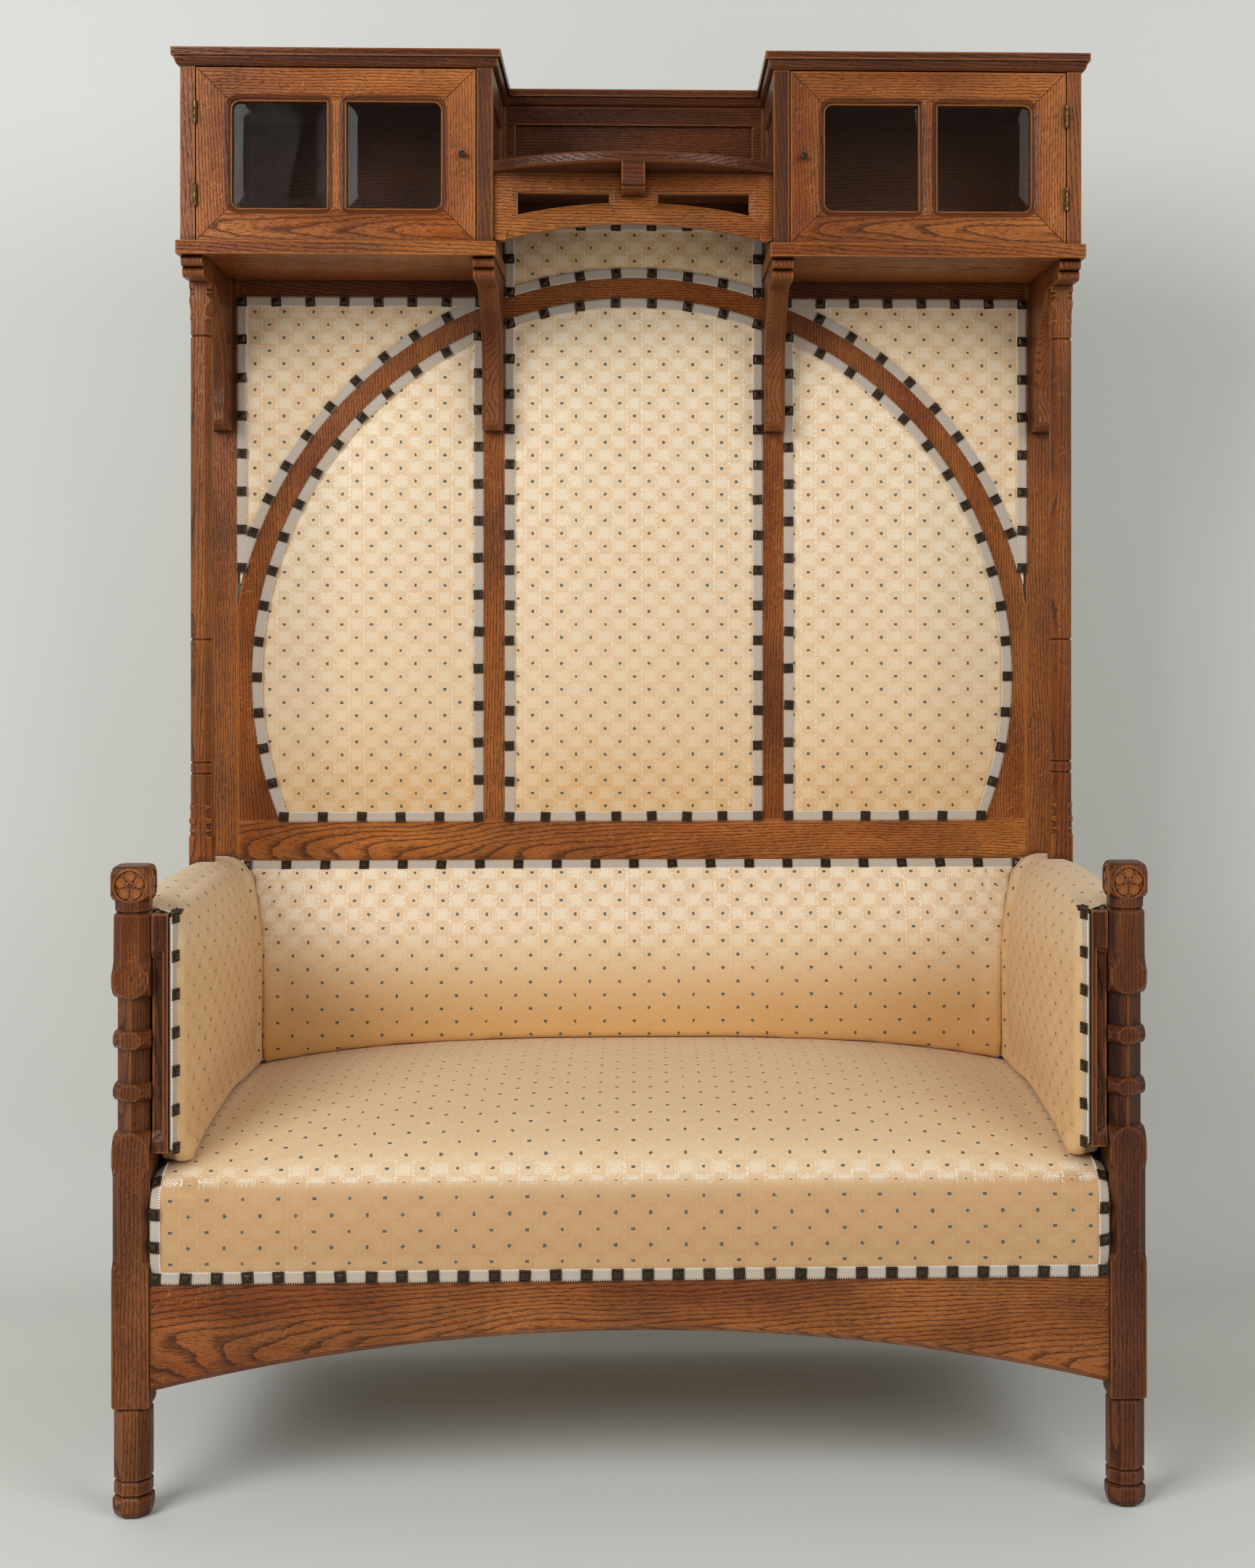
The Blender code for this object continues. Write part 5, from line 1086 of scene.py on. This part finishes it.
def map_cloth(piece, node_name):
    """Gives a pad its cloth map in metres, and its shares of painted sheen, of wear with painted shade,
    and of painted golden shade.
    """
    mesh = piece.data
    layers = [mesh.attributes.new(name, "FLOAT", "POINT") for name in ("figure_sheen", "wear_and_shade", "golden_shade")]
    for vertex in mesh.vertices:
        for layer, share in zip(layers, cloth_shares(node_name, vertex.co)):
            layer.data[vertex.index].value = share
    places = [cloth_place(node_name, vertex.co) for vertex in mesh.vertices]
    cloth = mesh.uv_layers.new(name="cloth")
    for loop in mesh.loops:
        cloth.data[loop.index].uv = places[loop.vertex_index]


class SETTLE_OT_upholstery(bpy.types.Operator):
    """Makes the padded seat, back, arms and back panels"""

    bl_idname = "settle.upholstery"
    bl_label = "Upholstery"

    def execute(self, context):
        damask = woven_damask(context.scene.settle_fabric)
        dress("seat_webbing_deck", jute_webbing())
        pads = {node_name: start_pad(node_name) for node_name in PADS}
        swell_pads(list(pads.values()))
        for node_name, piece in pads.items():
            finish_pad(piece, node_name, damask)
        return {"FINISHED"}


# The braid of the back's panels, just in front of the rails, and the distance of their studs
PANEL_BRAID_Y = 0.3200
PANEL_PITCH = 0.060
# A braid that runs under another one lies this much deeper
UNDER = 0.0004
# How far the braid reaches down into the cloth, in shares of its thickness
BRAID_DEPTH = 3.4
# The length of the braid's straight pieces
BRAID_STEP = 0.006
# How far a stud may be off its place, and how high it sits in shares of the braid's thickness
STUD_STRAY = 0.0005
STUD_LIFT = 0.8


class TrimLine:
    """One length of braid with its studs.

    Each of the two is a list of points, the way that each point faces, the studs' distance and
    whether the first and the last point carry a stud.
    """

    def __init__(self, points, facings, pitch, first=True, last=True, studs=None):
        self.braid = (points, facings, pitch, True, True)
        self.studs = (studs or points, facings, pitch, first, last)


def straight(start, end, step=0.008):
    """Points along a straight line, about a step apart."""
    start, end = Vector(start), Vector(end)
    count = max(2, math.ceil((end - start).length / step))
    return [start.lerp(end, i / count) for i in range(count + 1)]


def arc_points(centre, radius, start, end, step=0.008):
    """Points along an arc in the plane of the braid on the back, from one angle to another."""
    count = max(2, math.ceil(abs(end - start) * radius / step))
    points = []
    for i in range(count + 1):
        turn = start + (end - start) * i / count
        height = centre + radius * math.sin(turn)
        points.append(Vector((radius * math.cos(turn), PANEL_BRAID_Y, height)))
    return points


class PanelLines:
    """The braid of the back's flat panels, which all faces the front."""

    def __init__(self, half_width):
        self.half_width = half_width
        self.lines = []

    def add(self, braid, studs, first, last):
        facings = [Vector((0, -1, 0))] * max(len(braid), len(studs))
        self.lines.append(TrimLine(braid, facings, PANEL_PITCH, first, last, studs))

    def line(self, start, end, over=(True, True), first=True, last=True, behind=0.0):
        """A straight line, whose braid runs on over the corners where that is asked for."""
        start = Vector((start[0], PANEL_BRAID_Y + behind, start[1]))
        end = Vector((end[0], PANEL_BRAID_Y + behind, end[1]))
        on = (end - start).normalized() * self.half_width
        braid = straight(start - on if over[0] else start, end + on if over[1] else end)
        self.add(braid, straight(start, end), first, last)

    def arc(self, centre, radius, start, end, first=True, last=True):
        points = arc_points(centre, radius, start, end)
        self.add(points, points, first, last)


def panel_lines(inset):
    """The braid around the panels of the circle, the corners and the upper panel."""
    low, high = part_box("back_panel_center")
    wing_low, wing_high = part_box("back_panel_right")
    corner_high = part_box("corner_panel_right")[1]
    upper_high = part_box("back_panel_upper")[1]
    centre = high.z - wing_high.x
    inner = wing_high.x - inset
    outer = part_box("arch_rail_center")[1].z - centre + inset
    foot = low.z + inset
    drawn = PanelLines(inset)

    def rise(radius, x):
        return centre + math.sqrt(radius**2 - x**2)

    def angle(x, z):
        return math.atan2(z - centre, x) % math.tau

    half = high.x - inset
    drawn.line((-half, foot), (half, foot))
    for side in (-1, 1):
        end = (side * half, rise(inner, half))
        drawn.line((side * half, foot), end, (True, False), False, False, UNDER)
    drawn.arc(centre, inner, angle(half, rise(inner, half)), angle(-half, rise(inner, half)))
    near = wing_low.x + inset
    far = math.sqrt(inner**2 - (foot - centre) ** 2)
    for side in (-1, 1):
        drawn.line((side * near, foot), (side * far, foot), (True, False), behind=UNDER)
        end = (side * near, rise(inner, near))
        drawn.line((side * near, foot), end, (True, False), False, True, 2 * UNDER)
        start = math.atan2(foot - centre, far)
        end = math.atan2(rise(inner, near) - centre, near)
        if side < 0:
            start, end = math.pi - start, math.pi - end
        drawn.arc(centre, inner, start, end, False, False)
    half = upper_high.x - inset
    top = upper_high.z - inset
    drawn.line((-half, top), (half, top))
    for side in (-1, 1):
        start = (side * half, rise(outer, half))
        drawn.line(start, (side * half, top), (False, True), True, False, UNDER)
    height = rise(outer, half)
    drawn.arc(centre, outer, angle(half, height), angle(-half, height), False, False)
    edge = corner_high.x - inset
    top = corner_high.z - inset
    reach = math.sqrt(outer**2 - (top - centre) ** 2)
    for side in (-1, 1):
        drawn.line((side * reach, top), (side * edge, top), (False, True))
        start = (side * edge, rise(outer, edge))
        drawn.line(start, (side * edge, top), (False, True), True, False, UNDER)
        start = math.atan2(rise(outer, edge) - centre, edge)
        end = math.atan2(top - centre, reach)
        if side < 0:
            start, end = math.pi - start, math.pi - end
        drawn.arc(centre, outer, start, end, False, False)
    return drawn.lines


def laid_line(skin, rays, pitch, first=True, last=True):
    """A line laid on a pad, where rays given by their starts and directions meet it."""
    points = []
    normals = []
    for start, direction in rays:
        point, normal, _, _ = skin.ray_cast(start, direction)
        if point is not None:
            points.append(point)
            normals.append(normal if normal.dot(direction) < 0 else -normal)
    for _ in range(6):
        last_index = len(points) - 1
        around = [(max(i - 1, 0), i, min(i + 1, last_index)) for i in range(len(points))]
        normals = [(normals[a] + normals[b] + normals[c]).normalized() for a, b, c in around]
    for _ in range(2):
        middle = [(points[i - 1] + 2 * points[i] + points[i + 1]) / 4 for i in range(1, last_index)]
        points = [points[0], *middle, points[-1]]
    return TrimLine(points, normals, pitch, first, last)


# Distances between studs on the seat's foot and ends, on the lower back and on the arms
SEAT_FOOT_PITCH = 0.0426
SEAT_END_PITCH = 0.0410
LOWER_BACK_PITCH = 0.0630
ARM_FRONT_PITCH = 0.0520
ARM_OVER_PITCH = 0.0300
# Rays that find the cloth start this far in front of it and above it
RAYS_FRONT = -0.5
RAYS_TOP = 0.7
# The braid at the seat's foot takes its depth from the cloth above the round of its edge
FOOT_ROUND = 0.014
# Steps of the braid at the seat's ends, and where its part on the top starts
SEAT_END_STEP = 0.006
SEAT_END_Y = -0.342
# The upright braid at the front of an arm, and the piece on its top, which ends at the stump
ARM_BRAID_X = 0.6315
ARM_BRAID_Y = -0.3325
ARM_BRAID_FOOT = 0.505
ARM_BRAID_HEAD = 0.824
ARM_OVER_Y = -0.3150
ARM_OVER_Z = 0.8275
ARM_OVER_END = 0.6610


def seat_lines(skin, inset):
    """The braid along the foot of the seat's front, and up and over at both its ends."""
    low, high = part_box("seat_cushion")
    foot = low.z + inset
    edge = high.x - inset
    backwards = Vector((0, 1, 0))
    down = Vector((0, 0, -1))
    above = foot + FOOT_ROUND
    starts = straight((-edge, RAYS_FRONT, above), (edge, RAYS_FRONT, above))
    bottom = laid_line(skin, [(start, backwards) for start in starts], SEAT_FOOT_PITCH)
    for point, facing in zip(*bottom.braid[:2]):
        point.z = foot
        facing.xyz = backwards * -1
    lines = [bottom]
    for side in (-1, 1):
        x = side * edge
        up = [Vector((x, RAYS_FRONT, foot + SEAT_END_STEP * i)) for i in range(20)]
        over = [Vector((x, SEAT_END_Y + SEAT_END_STEP * i, RAYS_TOP)) for i in range(9)]
        rays = [(start, backwards) for start in up] + [(start, down) for start in over]
        lines.append(laid_line(skin, rays, SEAT_END_PITCH, first=False))
    return lines


def back_lines(skin, inset):
    """The braid along the top of the lower back, under the mid rail."""
    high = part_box("lower_back_cushion")[1]
    reach = high.x - inset
    height = high.z - inset
    starts = straight((-reach, 0.0, height), (reach, 0.0, height))
    return [laid_line(skin, [(start, Vector((0, 1, 0))) for start in starts], LOWER_BACK_PITCH)]


def arm_lines(side):
    """The braid up the front edge of an arm pad, beside the stump, and the piece on its top."""
    x = side * ARM_BRAID_X
    up = straight((x, ARM_BRAID_Y, ARM_BRAID_FOOT), (x, ARM_BRAID_Y, ARM_BRAID_HEAD))
    inwards = Vector((-side * 0.92, -0.39, 0))
    over = straight((x, ARM_OVER_Y, ARM_OVER_Z), (side * ARM_OVER_END, ARM_OVER_Y, ARM_OVER_Z))
    upwards = Vector((0, -0.25, 0.97))
    return [
        TrimLine(up, [inwards] * len(up), ARM_FRONT_PITCH),
        TrimLine(over, [upwards] * len(over), ARM_OVER_PITCH, last=False),
    ]


def line_mesh(name, lines):
    """Lines of points that carry the way they face, the studs' distance and where studs are."""
    bm = bmesh.new()
    facing = bm.verts.layers.float_vector.new("facing")
    spacing = bm.verts.layers.float.new("pitch")
    kept = bm.verts.layers.float.new("kept")
    for points, facings, pitch, first, last in lines:
        ring = []
        for point, way in zip(points, facings):
            vertex = bm.verts.new(point)
            vertex[facing] = way
            vertex[spacing] = pitch
            vertex[kept] = 1.0
            if ring:
                bm.edges.new((ring[-1], vertex))
            ring.append(vertex)
        ring[0][kept] = float(first)
        ring[-1][kept] = float(last)
    return add_mesh(name, bm)


def new_tree(name, sizes):
    """A Geometry Nodes tree with inputs for its sizes, an object and a material."""
    tree = bpy.data.node_groups.new(name, "GeometryNodeTree")
    sockets = [("Geometry", "INPUT", "NodeSocketGeometry")]
    sockets += [(size, "INPUT", "NodeSocketFloat") for size in sizes]
    sockets += [("Shape", "INPUT", "NodeSocketObject"), ("Material", "INPUT", "NodeSocketMaterial")]
    sockets.append(("Geometry", "OUTPUT", "NodeSocketGeometry"))
    for socket_name, direction, kind in sockets:
        tree.interface.new_socket(name=socket_name, in_out=direction, socket_type=kind)
    node = functools.partial(add_node, tree)
    given = node("NodeGroupInput").node.outputs
    return tree, node, given


def finished(node, geometry, given):
    """Ends a tree: real geometry with its material, linked to the tree's output."""
    real = node("GeometryNodeRealizeInstances", {"Geometry": geometry})
    painted = node("GeometryNodeSetMaterial", {"Geometry": real, "Material": given["Material"]})
    end = painted.id_data.nodes.new("NodeGroupOutput")
    fill(end, (painted,))


def run_tree(piece, tree, values):
    """Runs a tree on a piece with the given inputs, and keeps the result as a plain mesh."""
    modifier = piece.modifiers.new(tree.name, "NODES")
    modifier.node_group = tree
    for item in tree.interface.items_tree:
        if item.in_out == "INPUT" and item.name in values:
            modifier[item.identifier] = values[item.name]
    bake_modifiers(piece)


def braid_tree():
    """Braid along each line: a domed band with small loops that stand out at both its edges."""
    tree, node, given = new_tree("braid", ("Width", "Step", "Picot pitch", "Picot length"))
    curve = node("GeometryNodeMeshToCurve", {"Mesh": given["Geometry"]})
    even = node("GeometryNodeResampleCurve", {"Curve": curve, "Length": given["Step"]}, mode="LENGTH")
    facing = node(ATTRIBUTE, {"Name": "facing"}, data_type="FLOAT_VECTOR")
    upright = node("GeometryNodeSetCurveNormal", {"Curve": even, "Normal": facing}, mode="FREE")
    along = node("GeometryNodeSplineParameter", out=1)
    stored = node(
        "GeometryNodeStoreNamedAttribute",
        {"Geometry": upright, "Name": "along", "Value": along},
        data_type="FLOAT",
        domain="POINT",
    )
    shape = node("GeometryNodeObjectInfo", {"Object": given["Shape"]}, out="Geometry")
    profile = node("GeometryNodeMeshToCurve", {"Mesh": shape})
    swept = {"Curve": stored, "Profile Curve": profile, "Fill Caps": True}
    band = node("GeometryNodeCurveToMesh", swept)
    spaced = {"Curve": stored, "Length": given["Picot pitch"]}
    points = node("GeometryNodeCurveToPoints", spaced, mode="LENGTH")
    outputs = points.node.outputs
    sideways = node(VECTOR, (outputs["Tangent"], outputs["Normal"]), operation="CROSS_PRODUCT")
    half = node(MATH, (given["Width"], 0.5), operation="MULTIPLY")
    loop_radius = node(MATH, (given["Picot pitch"], 0.44), operation="MULTIPLY")
    length = given["Picot length"]
    cone = {"Vertices": 4, "Radius Bottom": loop_radius, "Radius Top": 0.0, "Depth": length}
    loop = node("GeometryNodeMeshCone", cone, fill_type="NGON")
    marked = node(
        "GeometryNodeStoreNamedAttribute",
        {"Geometry": loop, "Name": "across", "Value": 1.0},
        data_type="FLOAT",
        domain="POINT",
    )
    joined = node("GeometryNodeJoinGeometry", {"Geometry": band})
    for side in (-1, 1):
        outwards = node(VECTOR, {"Vector": sideways, "Scale": float(side)}, operation="SCALE")
        reach = node(VECTOR, {"Vector": outwards, "Scale": half}, operation="SCALE")
        edge = node("GeometryNodeSetPosition", {"Geometry": points, "Offset": reach})
        turn = node("FunctionNodeAlignRotationToVector", {"Vector": outwards}, axis="Z")
        placed = {"Points": edge, "Instance": marked, "Rotation": turn}
        loops = node("GeometryNodeInstanceOnPoints", placed)
        fill(joined.node, {"Geometry": loops})
    finished(node, joined, given)
    return tree


def stud_tree():
    """A stud every so often along each line, square to it, each a little off its place."""
    tree, node, given = new_tree("studs", ("Stray", "Lift"))
    curve = node("GeometryNodeMeshToCurve", {"Mesh": given["Geometry"]})
    facing = node(ATTRIBUTE, {"Name": "facing"}, data_type="FLOAT_VECTOR")
    upright = node("GeometryNodeSetCurveNormal", {"Curve": curve, "Normal": facing}, mode="FREE")
    pitch = node(ATTRIBUTE, {"Name": "pitch"}, data_type="FLOAT")
    length = node("GeometryNodeSplineLength")
    steps = node(MATH, (node(MATH, (length, pitch), operation="DIVIDE"),), operation="ROUND")
    count = node(MATH, (steps, 1.0), operation="ADD")
    even = node("GeometryNodeResampleCurve", {"Curve": upright, "Count": count}, mode="COUNT")
    points = node("GeometryNodeCurveToPoints", {"Curve": even}, mode="EVALUATED")
    outputs = points.node.outputs
    jitter = node(
        "FunctionNodeRandomValue",
        {0: (-1.0, -1.0, -1.0), 1: (1.0, 1.0, 1.0), "Seed": 5},
        data_type="FLOAT_VECTOR",
    )
    stray = node(VECTOR, {"Vector": jitter, "Scale": given["Stray"]}, operation="SCALE")
    normal = outputs["Normal"]
    lean = node(VECTOR, (jitter, (0.07, 0.07, 0.07), outputs["Tangent"]), operation="MULTIPLY_ADD")
    inwards = node(VECTOR, (stray, normal), operation="PROJECT")
    flat = node(VECTOR, (stray, inwards), operation="SUBTRACT")
    raised = node(VECTOR, {"Vector": normal, "Scale": given["Lift"]}, operation="SCALE")
    offset = node(VECTOR, (flat, raised), operation="ADD")
    placed = node("GeometryNodeSetPosition", {"Geometry": points, "Offset": offset})
    kept = node(ATTRIBUTE, {"Name": "kept"}, data_type="FLOAT")
    turn = node(
        "FunctionNodeAxesToRotation",
        {"Primary Axis": normal, "Secondary Axis": lean},
        primary_axis="Z",
        secondary_axis="X",
    )
    shape = node("GeometryNodeObjectInfo", {"Object": given["Shape"]}, out="Geometry")
    studs = node(
        "GeometryNodeInstanceOnPoints",
        {
            "Points": placed,
            "Selection": node(MATH, (kept, 0.5), operation="GREATER_THAN"),
            "Instance": shape,
            "Rotation": turn,
        },
    )
    finished(node, studs, given)
    return tree


def band_profile(width, rise):
    """The braid's section: flat below, domed above, with a bead along each edge."""
    bm = bmesh.new()
    across = bm.verts.layers.float.new("across")
    half = ((0.0, 1.0), (0.62, 0.75), (0.84, 0.95), (1.0, 0.45), (1.0, -BRAID_DEPTH))
    shares = [*half, *[(-share, height) for share, height in reversed(half[1:])]]
    ring = []
    for share, height in shares:
        vertex = bm.verts.new((height * rise, share * width / 2, 0))
        vertex[across] = share * width / 2
        ring.append(vertex)
    for i, vertex in enumerate(ring):
        bm.edges.new((vertex, ring[i - 1]))
    return add_mesh("band_profile", bm)


def square_stud(size, rise):
    """A cast stud: a bevelled square border, a groove, and a blunt pyramid with a step."""
    bm = bmesh.new()
    shares = (
        (1.00, 0.00),
        (1.00, 0.24),
        (0.88, 0.40),
        (0.76, 0.38),
        (0.70, 0.22),
        (0.62, 0.24),
        (0.56, 0.58),
        (0.42, 0.66),
        (0.36, 0.72),
        (0.10, 1.00),
    )
    rings = []
    for share, height in shares:
        half = share * size / 2
        corners = ((-half, -half), (half, -half), (half, half), (-half, half))
        rings.append([bm.verts.new((x, y, height * rise)) for x, y in corners])
    for inner, outer in zip(rings[1:], rings):
        for i in range(4):
            j = (i + 1) % 4
            bm.faces.new((outer[i], outer[j], inner[j], inner[i]))
    bm.faces.new(rings[-1])
    bm.faces.new(reversed(rings[0]))
    return add_mesh("square_stud", bm)


class SETTLE_OT_trim(bpy.types.Operator):
    """Lays the braid around the pads and nails the square studs on it"""

    bl_idname = "settle.trim"
    bl_label = "Braid and studs"

    def execute(self, context):
        settings = context.scene.settle_trim
        inset = settings.braid_width / 2 + 0.0003
        lines = panel_lines(inset)
        skin = surface_of(bpy.data.objects["padded_seat_cushion"])
        lines += seat_lines(skin, inset)
        skin = surface_of(bpy.data.objects["padded_lower_back_cushion"])
        lines += back_lines(skin, inset)
        for side, _ in SIDES:
            lines += arm_lines(side)
        self.lay_braid(lines, settings)
        self.nail_studs(lines, settings)
        return {"FINISHED"}

    def lay_braid(self, lines, settings):
        band = line_mesh("braid", [line.braid for line in lines])
        profile = band_profile(settings.braid_width, settings.braid_rise)
        values = {
            "Width": settings.braid_width,
            "Step": BRAID_STEP,
            "Picot pitch": settings.picot_pitch,
            "Picot length": settings.picot_length,
            "Shape": profile,
            "Material": ribbed_braid(settings),
        }
        run_tree(band, braid_tree(), values)
        bpy.data.objects.remove(profile, do_unlink=True)
        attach(band, SETTLE)

    def nail_studs(self, lines, settings):
        studs = line_mesh("studs", [line.studs for line in lines])
        stud = square_stud(settings.stud_size, settings.stud_rise)
        values = {
            "Stray": STUD_STRAY,
            "Lift": STUD_LIFT * settings.braid_rise,
            "Shape": stud,
            "Material": oxidised_bronze(settings),
        }
        run_tree(studs, stud_tree(), values)
        bpy.data.objects.remove(stud, do_unlink=True)
        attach(studs, SETTLE)


class SETTLE_PT_panel(bpy.types.Panel):
    """Lists the settle's pieces"""

    bl_label = "Oak Hall Settle"
    bl_idname = "SETTLE_PT_panel"
    bl_space_type = "VIEW_3D"
    bl_region_type = "UI"
    bl_category = "Settle"

    def draw(self, context):
        for name in ("stage", "oak", "posts", "doors", "upholstery", "trim"):
            self.layout.operator("settle." + name)


CLASSES = (
    SettleOakSettings,
    SettleFabricSettings,
    SettleTrimSettings,
    SettleCameraSettings,
    SETTLE_OT_stage,
    SETTLE_OT_oak,
    SETTLE_OT_posts,
    SETTLE_OT_doors,
    SETTLE_OT_upholstery,
    SETTLE_OT_trim,
    SETTLE_PT_panel,
)
SETTINGS = {
    "settle_oak": SettleOakSettings,
    "settle_fabric": SettleFabricSettings,
    "settle_trim": SettleTrimSettings,
    "settle_camera": SettleCameraSettings,
}


def register():
    for item in CLASSES:
        bpy.utils.register_class(item)
    for name, group in SETTINGS.items():
        setattr(bpy.types.Scene, name, bpy.props.PointerProperty(type=group))


def unregister():
    for name in SETTINGS:
        delattr(bpy.types.Scene, name)
    for item in reversed(CLASSES):
        bpy.utils.unregister_class(item)


def main():
    register()
    for item in list(bpy.data.objects):
        if item.name in ("Cube", "Light", "Camera"):
            bpy.data.objects.remove(item, do_unlink=True)
    bpy.ops.settle.stage()
    bpy.ops.settle.oak()
    bpy.ops.settle.posts()
    bpy.ops.settle.doors()
    bpy.ops.settle.upholstery()
    bpy.ops.settle.trim()


if __name__ == "__main__":
    main()
